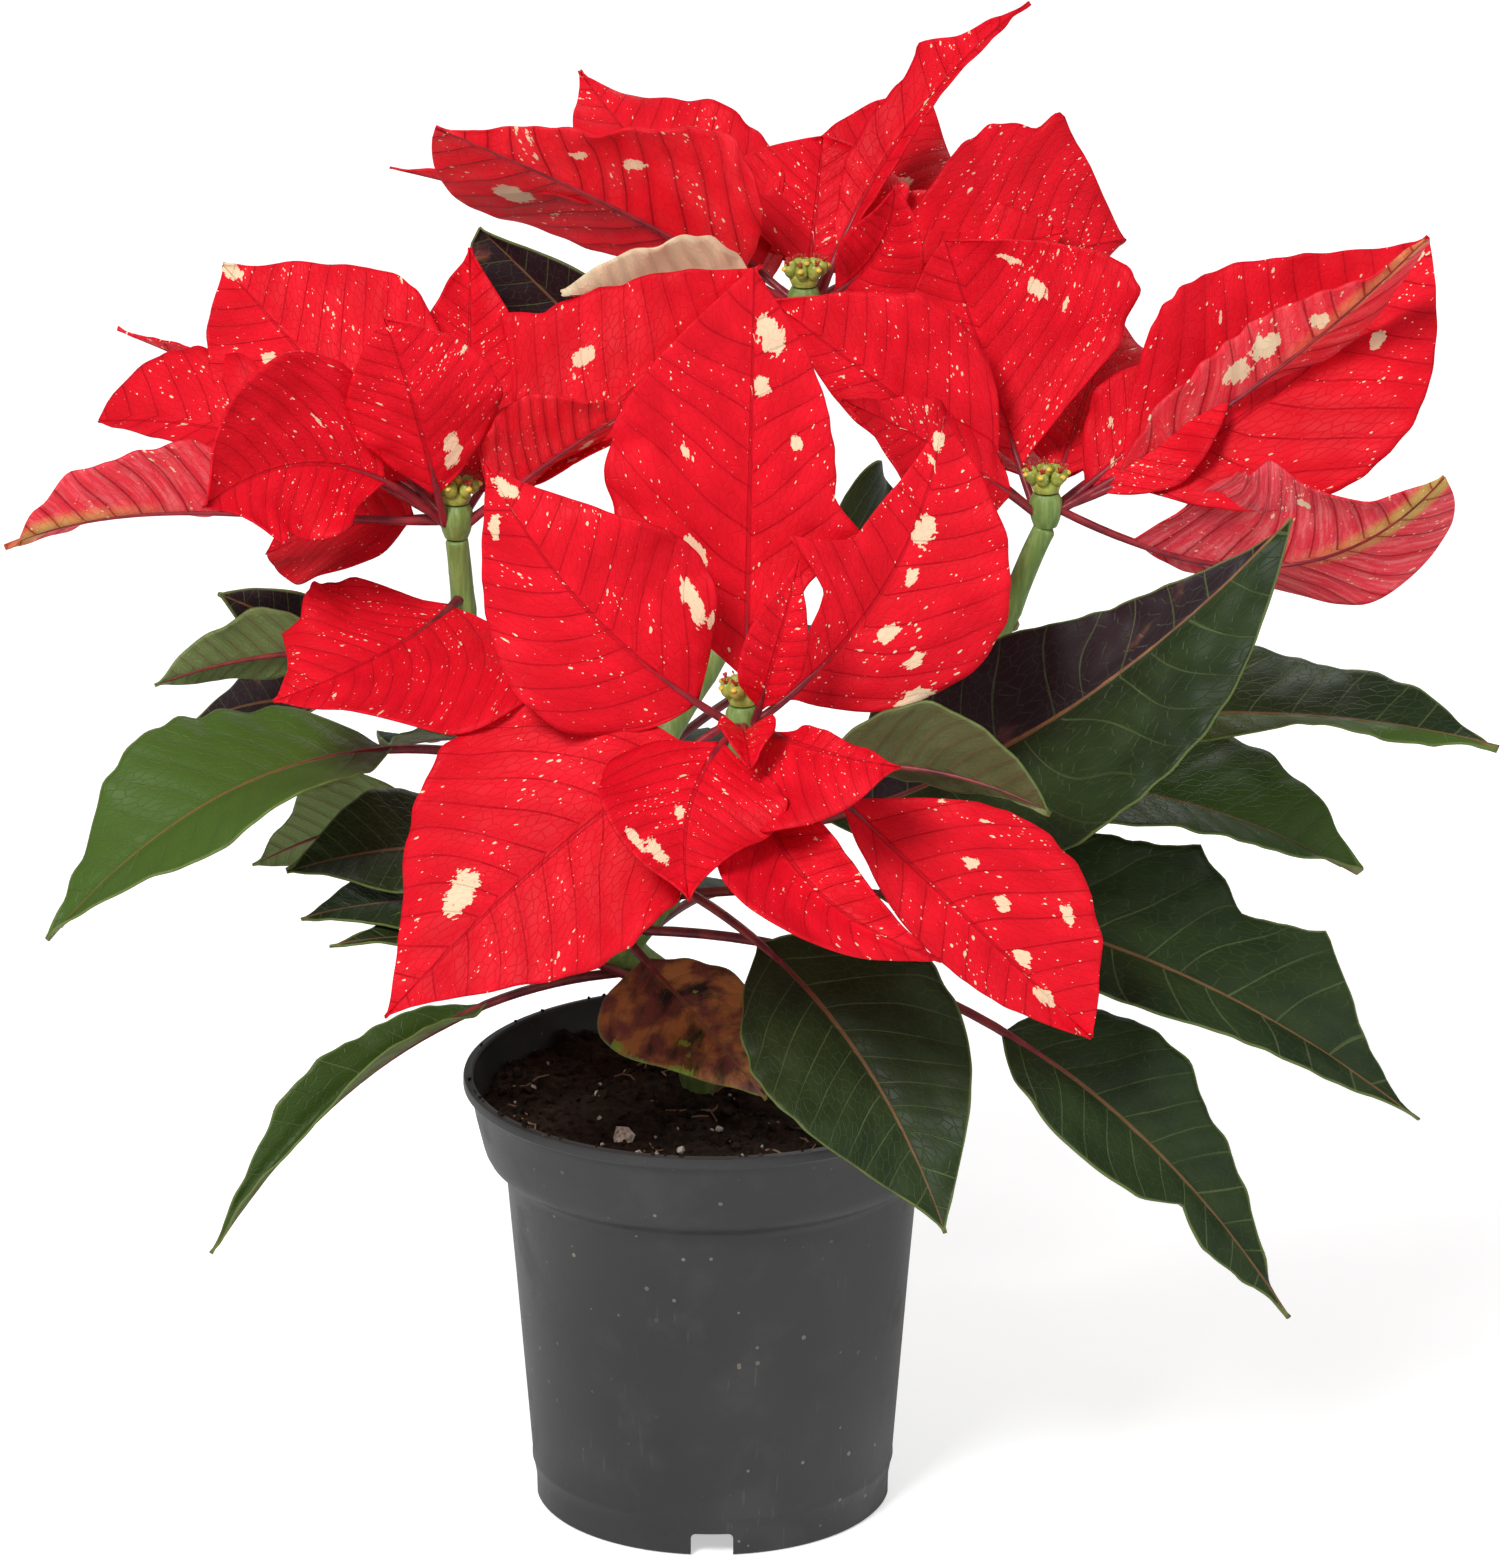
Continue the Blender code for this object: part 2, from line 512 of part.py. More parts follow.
def blade_point(blade, reach, t, u):
    """Middle of the blade's thickness at t along it and u across it, -1 to 1."""
    face = blade_frame(blade, reach)[1]
    step = 0.01
    forward = (spine(blade, reach, t + step) - spine(blade, reach, t - step)).normalized()
    up = (face - forward * face.dot(forward)).normalized()
    out = forward.cross(up)
    side = 1 if u > 0 else -1
    along_blade = min(1.0, max(0.0, (t - blade.stalk) / (1 - blade.stalk)))
    reach_out = abs(u) * half_width(blade, side, along_blade)
    spread = min(1.0, along_blade * 6)
    bend = math.radians(blade.cup[side > 0]) * abs(u) * spread
    angle = math.radians(blade.fold[side > 0]) * spread + bend / 2
    reach_out *= math.sin(bend / 2) / (bend / 2) if abs(bend) > 1e-4 else 1.0
    ripple = math.sin(2 * math.pi * blade.waves * along_blade + (0.6 if side > 0 else 3.6))
    ripple *= blade.wave * sum(blade.halves) * abs(u) ** 1.6 * 4 * along_blade * (1 - along_blade)
    return (spine(blade, reach, t) + out * side * reach_out * math.cos(angle)
            + up * (reach_out * math.sin(angle) + ripple))


def blade_rows(blade):
    """Places along the lamina where it has a row of points, with a row at every lobe's edges."""
    rows = [place + shift * LOBE_REACH for _, place, _ in blade.lobes for shift in (-1, 0, 1)]
    for row in ROWS:
        if all(abs(row - other) > 0.05 for other in rows):
            rows.append(row)
    return sorted(rows)


def blade_solid(name, blade, start, reach, material=None):
    """A thin closed blade with its stalk, triangles alike on both faces."""
    rows = [0.0] + [blade.stalk + row * (1 - blade.stalk) for row in blade_rows(blade)]
    grid = [[start + blade_point(blade, reach, t, u) for u in COLUMNS] for t in rows]
    last_row = len(rows) - 1
    last_column = len(COLUMNS) - 1
    bm = bmesh.new()
    faces = {1: [], -1: []}
    for i, t in enumerate(rows):
        sheet = {1: [], -1: []}
        for j, u in enumerate(COLUMNS):
            length = grid[min(i + 1, last_row)][j] - grid[max(i - 1, 0)][j]
            across = grid[i][min(j + 1, last_column)] - grid[i][max(j - 1, 0)]
            normal = length.cross(across).normalized() * -1
            leaf = t > blade.stalk * 1.02
            middle = RIB_THICKNESS if u == 0 else BLADE_THICKNESS
            thick = middle if leaf else STALK_THICKNESS * (1 - 0.4 * u * u)
            for way in (1, -1):
                spot = grid[i][j] + normal * way * thick / 2
                sheet[way].append(bm.verts.new(spot * MM))
        faces[1].append(sheet[1])
        faces[-1].append(sheet[-1])
    for way in (1, -1):
        sheet = faces[way]
        for i in range(last_row):
            for j in range(last_column):
                a, b = sheet[i][j], sheet[i][j + 1]
                d, c = sheet[i + 1][j], sheet[i + 1][j + 1]
                tris = ((a, b, c), (a, c, d)) if j < 2 else ((a, b, d), (b, c, d))
                for tri in tris:
                    bm.faces.new(tri)
    top, bottom = faces[1], faces[-1]
    rim = [(0, j) for j in range(last_column)]
    rim += [(i, last_column) for i in range(last_row)]
    rim += [(last_row, last_column - j) for j in range(last_column)]
    rim += [(last_row - i, 0) for i in range(last_row)]
    for (i, j), (k, m) in zip(rim, rim[1:] + rim[:1]):
        bm.faces.new((top[i][j], top[k][m], bottom[k][m]))
        bm.faces.new((top[i][j], bottom[k][m], bottom[i][j]))
    return place_object(name, bm, material, sharp=60)


def heart(name):
    """Middle of a bloom's core: on the branch's end, a gap above it."""
    return BRANCHES[name][-1] + Vector((0, 0, GAP))


def make_bloom(name, material):
    """One bloom: bracts whose stalks grow together in a short core on the branch's end."""
    base = heart(name)
    bm = turned([(0, 0), (CORE_RADIUS * 0.8, 0), (CORE_RADIUS, CORE_HEIGHT * 0.5),
                 (CORE_RADIUS * 0.85, CORE_HEIGHT), (0, CORE_HEIGHT)], STEM_SIDES)
    bmesh.ops.translate(bm, verts=bm.verts, vec=base * MM)
    bloom = place_object(f"bloom_{name}", bm, material)
    bracts = []
    for blade in BLOOMS[name].values():
        tip = Vector(blade.tip) + Vector((0, 0, HEART_RISE))
        outward = Vector((tip.x, tip.y, 0)).normalized()
        start = Vector((0, 0, CORE_HEIGHT * 0.5)) + outward * CORE_RADIUS * 0.85
        bracts.append(blade_solid("bract", blade, base + start, tip - start))
    return outer_shell(boolean(bloom, "UNION", bracts, "MANIFOLD"))


def make_buds(name, material):
    """The small flower buds in the heart of a bloom, grown together at their foot."""
    base = heart(name) + Vector((0, 0, CORE_HEIGHT + GAP))
    bm = turned([(0, 0), (CORE_RADIUS * 0.7, 0), (BUD_RING, 3.2), (0, 4.4)], STEM_SIDES)
    bmesh.ops.translate(bm, verts=bm.verts, vec=base * MM)
    cluster = place_object(f"buds_{name}", bm, material)
    buds = []
    for i in range(BUD_COUNT):
        angle = 2 * math.pi * i / (BUD_COUNT - 1)
        ring = 0 if i == BUD_COUNT - 1 else BUD_RING
        spot = Vector((ring * math.cos(angle), ring * math.sin(angle), 4.0 + (ring == 0) * 1.6))
        bm = bmesh.new()
        stretch = Matrix.Diagonal((1, 1, 1.35, 1))
        shift = Matrix.Translation((base + spot) * MM)
        bmesh.ops.create_uvsphere(bm, u_segments=6, v_segments=4, radius=BUD_RADIUS * MM,
                                  matrix=shift @ stretch)
        buds.append(place_object("bud", bm, None))
    return boolean(cluster, "UNION", buds, "MANIFOLD")


def seat(name):
    """Where a leaf's stalk starts, its near corner a gap off the branch, and its reach from there."""
    branch, place, blade = LEAVES[name]
    middle, along, radius = branch_at(branch, place)
    tip = Vector(blade.tip)
    forward = spine(blade, tip - middle, 0.02).normalized()
    outward = (forward - along * forward.dot(along)).normalized()
    tilt = math.sqrt(max(0.0, 1 - forward.dot(outward) ** 2))
    start = middle + outward * (radius + GAP + STALK_HALF_WIDTH * tilt)
    return start, tip - start


def make_leaf(name, material):
    """One leaf on its branch."""
    start, reach = seat(name)
    return blade_solid(name, LEAVES[name][2], start, reach, material)


def main():
    clear_scene()
    make_pot()
    make_soil()
    make_stem()
    red = make_material("red bract", (0.70, 0.010, 0.022), 0.5)
    bud = make_material("bud green", (0.42, 0.44, 0.06), 0.5)
    green = make_material("leaf green", (0.030, 0.080, 0.026), 0.45)
    purple = make_material("young leaf purple", (0.045, 0.016, 0.028), 0.4)
    for name in BLOOMS:
        make_bloom(name, red)
        make_buds(name, bud)
    for name in LEAVES:
        young = any(word in name for word in ("purple", "glossy", "dark"))
        material = red if name.startswith("bract") else purple if young else green
        make_leaf(name, material)


main()
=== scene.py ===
"""Poinsettia in a nursery pot: its looks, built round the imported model."""
import math
import random
from dataclasses import dataclass

import bmesh
import bpy
from mathutils import Matrix, Vector, noise


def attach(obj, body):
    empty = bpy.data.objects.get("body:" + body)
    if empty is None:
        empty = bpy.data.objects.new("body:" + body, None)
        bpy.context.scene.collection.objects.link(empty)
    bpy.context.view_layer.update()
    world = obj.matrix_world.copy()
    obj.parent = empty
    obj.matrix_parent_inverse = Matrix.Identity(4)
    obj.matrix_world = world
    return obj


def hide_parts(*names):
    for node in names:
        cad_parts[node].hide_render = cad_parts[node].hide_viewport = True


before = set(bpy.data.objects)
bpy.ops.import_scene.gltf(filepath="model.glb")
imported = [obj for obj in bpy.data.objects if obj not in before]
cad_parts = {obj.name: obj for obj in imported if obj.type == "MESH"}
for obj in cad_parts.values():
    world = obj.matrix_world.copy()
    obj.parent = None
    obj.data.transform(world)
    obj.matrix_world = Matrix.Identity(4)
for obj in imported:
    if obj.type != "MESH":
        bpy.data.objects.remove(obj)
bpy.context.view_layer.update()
MM = 0.001


# Pot: one thin moulding of dark grey polypropylene with a rolled lip, a collar, a tapered wall, a
# foot ring with notches and drain holes. It is moulded in one shot and has a fine dull grain. It
# carries dust, water marks, grains of soil and rubbed lines from the shelf.
POT_HEIGHT = 117.5
FOOT_HEIGHT = 6.5
POT_OUTSIDE = (
    (64.1, 117.5), (64.8, 117.2), (65.0, 116.6), (65.0, 114.9), (64.6, 114.4), (63.5, 114.1),
    (63.1, 113.4), (61.9, 107.0), (60.0, 98.9), (59.5, 97.3), (58.6, 95.6), (57.0, 94.2),
    (55.4, 93.2), (54.5, 91.8), (54.0, 90.4), (51.6, 62.0), (48.3, 20.0), (47.65, 11.6),
    (47.75, 11.0), (47.75, 10.2), (47.45, 9.7), (47.0, 7.0), (46.8, 6.0), (46.7, 0.4), (46.3, 0.0),
    (44.8, 0.0), (44.4, 0.4), (44.1, 6.5), (17.6, 6.5), (16.8, 6.0), (15.2, 0.3), (14.8, 0.0),
)
POT_INSIDE = (
    (14.2, 1.6), (16.6, 8.1), (45.5, 8.1), (52.7, 92.5), (55.0, 94.9), (58.1, 99.1), (62.0, 114.3),
    (62.4, 117.0), (62.9, 117.5),
)
POT_FLOOR = 1.6
POT_STEPS = 144
POT_CREASE = 35
DRAIN_ANGLES = [60 * i + 30 for i in range(6)]
DRAIN_RADIUS = 3.5
DRAIN_CIRCLE = 31.0
NOTCH_ANGLES = [90 * i for i in range(4)]
NOTCH_SIZE = (11.0, 7.0, 12.0)
NOTCH_CIRCLE = 45.7
NOTCH_ROUND = 1.2


def link_mesh(name, bm, materials, angle=40):
    """A finished bmesh in metres becomes one smooth piece."""
    mesh = bpy.data.meshes.new(name)
    bm.to_mesh(mesh)
    bm.free()
    mesh.shade_smooth()
    mesh.set_sharp_from_angle(angle=math.radians(angle))
    for material in materials:
        mesh.materials.append(material)
    piece = bpy.data.objects.new(name, mesh)
    bpy.context.scene.collection.objects.link(piece)
    return piece


def put(tree, kind, inputs, **settings):
    """One shader node. Inputs are numbers, colours or other nodes' outputs, by name or place."""
    made = tree.nodes.new("ShaderNode" + kind)
    for key, value in settings.items():
        setattr(made, key, value)
    for socket, value in inputs.items():
        if isinstance(value, bpy.types.NodeSocket):
            tree.links.new(value, made.inputs[socket])
        else:
            made.inputs[socket].default_value = value
    return made


def maths(tree, operation, first, second=0.0, third=0.0):
    return put(tree, "Math", {0: first, 1: second, 2: third}, operation=operation).outputs[0]


def ramp(tree, value, low, high, start=0.0, end=1.0):
    """value eased from start to end as it goes from low to high."""
    made = put(tree, "MapRange", {"Value": value, "From Min": low, "From Max": high,
                                  "To Min": start, "To Max": end}, interpolation_type="SMOOTHSTEP")
    return made.outputs[0]


def mixed(tree, share, first, second, blend="MIX"):
    made = put(tree, "Mix", {0: share, 6: first, 7: second}, data_type="RGBA", blend_type=blend)
    return made.outputs[2]


def noise_of(tree, vector, scale, detail=3.0, roughness=0.55):
    return put(tree, "TexNoise", {"Vector": vector, "Scale": scale, "Detail": detail,
                                  "Roughness": roughness}).outputs[0]


def new_material(name, roughness, **values):
    """A material and its shader, with the values that are the same all over it."""
    material = bpy.data.materials.new(name)
    material.use_nodes = True
    tree = material.node_tree
    shader = tree.nodes["Principled BSDF"]
    shader.inputs["Roughness"].default_value = roughness
    for key, value in values.items():
        shader.inputs[key.replace("_", " ")].default_value = value
    return material, tree, shader


def place(tree):
    return put(tree, "TexCoord", {}).outputs["Object"]


def dust_group():
    """Specks of dust and soil, rubbed lines and water marks, from a place on the piece."""
    tree = bpy.data.node_groups.new("dust and rubs", "ShaderNodeTree")
    tree.interface.new_socket("Place", in_out="INPUT", socket_type="NodeSocketVector")
    for name in ("Dust", "Rubs", "Marks"):
        tree.interface.new_socket(name, in_out="OUTPUT", socket_type="NodeSocketFloat")
    start = tree.nodes.new("NodeGroupInput")
    end = tree.nodes.new("NodeGroupOutput")
    spot = start.outputs["Place"]
    cells = put(tree, "TexVoronoi", {"Vector": spot, "Scale": 420.0})
    chosen = ramp(tree, put(tree, "SeparateColor", {0: cells.outputs["Color"]}).outputs[0],
                  0.86, 1.0, 0.0, 0.26)
    speck = maths(tree, "LESS_THAN", cells.outputs["Distance"], chosen)
    patchy = ramp(tree, noise_of(tree, spot, 22.0), 0.4, 0.62)
    tree.links.new(maths(tree, "MULTIPLY", speck, patchy), end.inputs["Dust"])
    long = put(tree, "VectorMath", {0: spot, 1: (1.0, 1.0, 0.05)}, operation="MULTIPLY").outputs[0]
    lines = ramp(tree, noise_of(tree, long, 900.0, 1.0), 0.66, 0.74)
    tree.links.new(maths(tree, "MULTIPLY", lines, ramp(tree, noise_of(tree, spot, 30.0), 0.5, 0.6)),
                   end.inputs["Rubs"])
    tree.links.new(ramp(tree, noise_of(tree, spot, 60.0, 6.0, 0.65), 0.48, 0.66),
                   end.inputs["Marks"])
    return tree


def pot_material(group):
    material, tree, shader = new_material("dark pot plastic", 0.45, Specular_IOR_Level=0.5)
    spot = place(tree)
    dust = put(tree, "Group", {}, node_tree=group)
    tree.links.new(spot, dust.inputs["Place"])
    grain = noise_of(tree, spot, 1400.0, 2.0)
    base = mixed(tree, ramp(tree, noise_of(tree, spot, 18.0), 0.3, 0.7),
                 (0.025, 0.0255, 0.026, 1), (0.034, 0.0345, 0.035, 1))
    base = mixed(tree, maths(tree, "MULTIPLY", dust.outputs["Marks"], 0.16), base,
                 (0.11, 0.105, 0.10, 1))
    base = mixed(tree, maths(tree, "MULTIPLY", dust.outputs["Rubs"], 0.2), base,
                 (0.16, 0.16, 0.16, 1))
    base = mixed(tree, maths(tree, "MULTIPLY", dust.outputs["Dust"], 0.8), base,
                 (0.26, 0.22, 0.17, 1))
    tree.links.new(base, shader.inputs["Base Color"])
    rough = maths(tree, "ADD", maths(tree, "MULTIPLY", grain, 0.12),
                  maths(tree, "MULTIPLY", dust.outputs["Marks"], 0.14))
    tree.links.new(maths(tree, "ADD", rough, 0.34), shader.inputs["Roughness"])
    bump = put(tree, "Bump", {"Strength": 0.25, "Distance": 0.0002, "Height": grain})
    tree.links.new(bump.outputs[0], shader.inputs["Normal"])
    return material


def turned(profile, steps, closed=True):
    """A profile of (radius, height) in mm spun once round the Z axis."""
    bm = bmesh.new()
    verts = [bm.verts.new((r * MM, 0, z * MM)) for r, z in profile]
    pairs = list(zip(verts, verts[1:] + verts[:1] if closed else verts[1:]))
    for first, second in pairs:
        bm.edges.new((first, second))
    bmesh.ops.spin(bm, geom=bm.verts[:] + bm.edges[:], axis=(0, 0, 1), cent=(0, 0, 0),
                   angle=2 * math.pi, steps=steps, use_merge=True)
    bmesh.ops.remove_doubles(bm, verts=bm.verts, dist=1e-6)
    bmesh.ops.recalc_face_normals(bm, faces=bm.faces)
    return bm


def cut(piece, cutters):
    """Cuts a list of pieces out of one, and removes them."""
    for cutter in cutters:
        modifier = piece.modifiers.new("cut", "BOOLEAN")
        modifier.operation = "DIFFERENCE"
        modifier.object = cutter
    bpy.context.view_layer.update()
    graph = bpy.context.evaluated_depsgraph_get()
    piece.data = bpy.data.meshes.new_from_object(piece.evaluated_get(graph))
    piece.modifiers.clear()
    for cutter in cutters:
        bpy.data.objects.remove(cutter, do_unlink=True)


dust = dust_group()
pot_plastic = pot_material(dust)
profile = ((0, POT_FLOOR),) + POT_INSIDE + POT_OUTSIDE + ((0, 0.0),)
pot = link_mesh("pot_shell", turned(profile, POT_STEPS, False), [pot_plastic], POT_CREASE)
cutters = []
for degrees in DRAIN_ANGLES:
    bm = bmesh.new()
    turn = Matrix.Rotation(math.radians(degrees), 4, "Z")
    spot = turn @ Vector((DRAIN_CIRCLE, 0, FOOT_HEIGHT + 1.0)) * MM
    bmesh.ops.create_cone(bm, cap_ends=True, segments=24, radius1=DRAIN_RADIUS * MM,
                          radius2=DRAIN_RADIUS * MM, depth=6 * MM, matrix=Matrix.Translation(spot))
    cutters.append(link_mesh("drain", bm, []))
for degrees in NOTCH_ANGLES:
    bm = bmesh.new()
    turn = Matrix.Rotation(math.radians(degrees), 4, "Z")
    shift = Matrix.Translation(Vector((0, -NOTCH_CIRCLE, 0)) * MM)
    size = Matrix.Diagonal([side * MM for side in NOTCH_SIZE] + [1])
    bmesh.ops.create_cube(bm, size=1, matrix=turn @ shift @ size)
    level = [edge for edge in bm.edges if abs(edge.verts[0].co.z + edge.verts[1].co.z) > 0.01]
    bmesh.ops.bevel(bm, geom=level, offset=NOTCH_ROUND * MM, segments=3, profile=0.5,
                    affect="EDGES", material=-1)
    cutters.append(link_mesh("notch", bm, []))
cut(pot, cutters)
pot.data.shade_smooth()
pot.data.set_sharp_from_angle(angle=math.radians(POT_CREASE))
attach(pot, "root")
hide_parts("pot")


# Root ball: dark brown peat with bark fibres, packed into the pot to just under its rim and heaped
# a little at the left and back. It is poured in by machine and settles with watering.
SOIL_TOP = 108.0
SOIL_RADIUS = 60.2
SOIL_CELLS = 150
SOIL_WALL = ((99.4, 57.6), (94.8, 54.4), (92.4, 52.2), (8.6, 45.0))
HEAP = 3.0


def soil_height(x, y):
    """Height of the soil in mm, lumps and heap without its crumbs."""
    lumps = math.sin(x * 0.21 + 1.0) * math.cos(y * 0.19) + 0.6 * math.sin(x * 0.43 + y * 0.37 + 2.0)
    heap = max(0.0, (-x * 0.6 + y * 0.8) / 65.0) ** 2
    return SOIL_TOP + 0.84 * lumps + HEAP * heap


def crumb_height(x, y):
    """The soil with its crumbs and hollows."""
    spot = Vector((x, y, 0))
    coarse = noise.fractal(spot * 0.22, 1.0, 2.0, 4)
    fine = noise.turbulence(spot * 0.9, 3, True)
    return soil_height(x, y) + 1.3 * coarse + 0.9 * fine - 0.9


def soil_material():
    material, tree, shader = new_material("peat", 0.95, Specular_IOR_Level=0.2)
    spot = place(tree)
    tone = noise_of(tree, spot, 350.0, 8.0, 0.7)
    base = mixed(tree, ramp(tree, tone, 0.35, 0.7), (0.010, 0.006, 0.004, 1), (0.062, 0.036, 0.022, 1))
    damp = ramp(tree, noise_of(tree, spot, 40.0, 3.0), 0.4, 0.65)
    base = mixed(tree, maths(tree, "MULTIPLY", damp, 0.55), base, (0.020, 0.012, 0.008, 1))
    tree.links.new(base, shader.inputs["Base Color"])
    bump = put(tree, "Bump", {"Strength": 0.9, "Distance": 0.0006,
                              "Height": noise_of(tree, spot, 900.0, 6.0, 0.7)})
    tree.links.new(bump.outputs[0], shader.inputs["Normal"])
    return material


peat = soil_material()
bm = bmesh.new()
bmesh.ops.create_grid(bm, x_segments=SOIL_CELLS, y_segments=SOIL_CELLS, size=1.0)
for vert in bm.verts:
    a, b = vert.co.x, vert.co.y
    x = a * math.sqrt(1 - b * b / 2) * SOIL_RADIUS
    y = b * math.sqrt(1 - a * a / 2) * SOIL_RADIUS
    edge = min(1.0, (SOIL_RADIUS - math.hypot(x, y)) / 4.0)
    vert.co = Vector((x, y, crumb_height(x, y) - 1.5 * (1 - edge) ** 2)) * MM
rim = [edge for edge in bm.edges if edge.is_boundary]
for low, radius in SOIL_WALL:
    grown = bmesh.ops.extrude_edge_only(bm, edges=rim)["geom"]
    rim = [part for part in grown if isinstance(part, bmesh.types.BMEdge)]
    for vert in {v for edge in rim for v in edge.verts}:
        flat = Vector((vert.co.x, vert.co.y)).normalized() * radius
        vert.co = Vector((flat.x, flat.y, low)) * MM
bmesh.ops.contextual_create(bm, geom=rim)
bmesh.ops.recalc_face_normals(bm, faces=bm.faces)
soil = link_mesh("peat_root_ball", bm, [peat], 180)
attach(soil, "root")
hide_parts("soil")


# Loose bits on the soil: crumbs of peat and bark, white expanded perlite, and dead rootlets and
# fibres that watering has washed out. They lie where they fell.
TRUNK_FOOT = Vector((-4, 14, 112))
PERLITE = ((-23.1, -27, 3.0), (-19.2, -36, 1.5), (-14.1, -36, 1.2), (-41.0, -36, 1.2), (-38.0, -31, 1.1),
           (-8.0, -33, 1.2), (7.6, -38, 1.2), (6.0, -52, 1.0), (30.0, -30, 1.4), (-30.0, 5, 1.3),
           (22.0, 22, 1.6), (-12.0, 40, 1.4), (35.0, 8, 1.2), (2.0, -20, 1.0), (-47.0, 12, 1.1))
CRUMBS = 900
RIM_CRUMBS = 70
FINE_PERLITE = 45
FIBRES = 34
RIM_MIDDLE = 63.6
ROOTLETS = (((-46, -22), (-41, -32), (-42, -38)), ((-30, -44), (-22, -40), (-14, -45)),
            ((14, -34), (22, -38), (27, -33)), ((-20, 30), (-6, 36), (4, 33)),
            ((-52, -10), (-46, -18), (-47, -26)), ((30, 20), (38, 12), (36, 2)))


def add_pebble(bm, spot, size, draw):
    """One lumpy grain in mm."""
    turn = Matrix.Rotation(draw.uniform(0, 6.28), 4, "Z") @ Matrix.Rotation(draw.uniform(0, 3), 4, "X")
    stretch = Matrix.Diagonal((draw.uniform(0.8, 1.5), 1.0, draw.uniform(0.6, 1.0), 1))
    made = bmesh.ops.create_icosphere(bm, subdivisions=1, radius=size * MM,
                                      matrix=Matrix.Translation(spot * MM) @ turn @ stretch)
    for vert in made["verts"]:
        vert.co += (vert.co - spot * MM) * draw.uniform(-0.28, 0.28)


def anywhere(draw, share):
    """A chance place on the soil, within a share of its radius."""
    angle, reach = draw.uniform(0, 2 * math.pi), SOIL_RADIUS * math.sqrt(draw.random()) * share
    return reach * math.cos(angle), reach * math.sin(angle)


draw = random.Random(7)
bm = bmesh.new()
for _ in range(CRUMBS):
    x, y = anywhere(draw, 0.985)
    if (Vector((x, y)) - TRUNK_FOOT.to_2d()).length > 7:
        size = draw.choice((0.4, 0.5, 0.6, 0.8, 1.1, 1.5))
        add_pebble(bm, Vector((x, y, crumb_height(x, y) + size * 0.3)), size, draw)
for _ in range(RIM_CRUMBS):
    angle = draw.uniform(0, 2 * math.pi)
    size = draw.uniform(0.25, 0.6)
    x, y = RIM_MIDDLE * math.cos(angle), RIM_MIDDLE * math.sin(angle)
    add_pebble(bm, Vector((x, y, POT_HEIGHT + size * 0.4)), size, draw)
crumbs = link_mesh("peat_crumbs", bm, [peat], 50)
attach(crumbs, "root")

white_grain, tree, shader = new_material("perlite", 0.9)
tone = ramp(tree, noise_of(tree, place(tree), 900.0, 4.0), 0.3, 0.6)
tree.links.new(mixed(tree, tone, (0.38, 0.30, 0.21, 1), (0.84, 0.76, 0.66, 1)),
               shader.inputs["Base Color"])
bump = put(tree, "Bump", {"Strength": 0.8, "Distance": 0.0003, "Height": tone})
tree.links.new(bump.outputs[0], shader.inputs["Normal"])
bm = bmesh.new()
for x, y, size in PERLITE:
    add_pebble(bm, Vector((x, y, crumb_height(x, y) + size * 0.45)), size, draw)
for _ in range(FINE_PERLITE):
    x, y = anywhere(draw, 0.95)
    add_pebble(bm, Vector((x, y, crumb_height(x, y) + 0.3)), draw.uniform(0.3, 0.8), draw)
perlite = link_mesh("perlite", bm, [white_grain], 40)
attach(perlite, "root")


def smooth_path(points, count):
    """Points along a smooth curve through the given ones."""
    ends = [points[0] * 2 - points[1]] + list(points) + [points[-1] * 2 - points[-2]]
    path = []
    for i in range(count):
        place_on = i / (count - 1) * (len(points) - 1)
        k = min(int(place_on), len(points) - 2)
        t = place_on - k
        a, b, c, d = ends[k:k + 4]
        path.append(0.5 * ((2 * b) + (c - a) * t + (2 * a - 5 * b + 4 * c - d) * t * t
                           + (3 * b - a - 3 * c + d) * t ** 3))
    return path


def round_rods(name, rods, material, sides=3):
    """Rods along lists of (point, radius) in mm, as one mesh."""
    curve = bpy.data.curves.new(name, "CURVE")
    curve.dimensions = "3D"
    curve.bevel_depth = MM
    curve.bevel_resolution = sides
    curve.use_fill_caps = True
    for rod in rods:
        spline = curve.splines.new("POLY")
        spline.points.add(len(rod) - 1)
        for point, (spot, radius) in zip(spline.points, rod):
            point.co = (*(spot * MM), 1)
            point.radius = radius
    source = bpy.data.objects.new(name, curve)
    bpy.context.scene.collection.objects.link(source)
    bpy.context.view_layer.update()
    mesh = bpy.data.meshes.new_from_object(source.evaluated_get(bpy.context.evaluated_depsgraph_get()))
    bpy.data.objects.remove(source, do_unlink=True)
    mesh.name = name
    mesh.materials.clear()
    mesh.materials.append(material)
    mesh.shade_smooth()
    mesh.set_sharp_from_angle(angle=math.radians(60))
    piece = bpy.data.objects.new(name, mesh)
    bpy.context.scene.collection.objects.link(piece)
    return piece


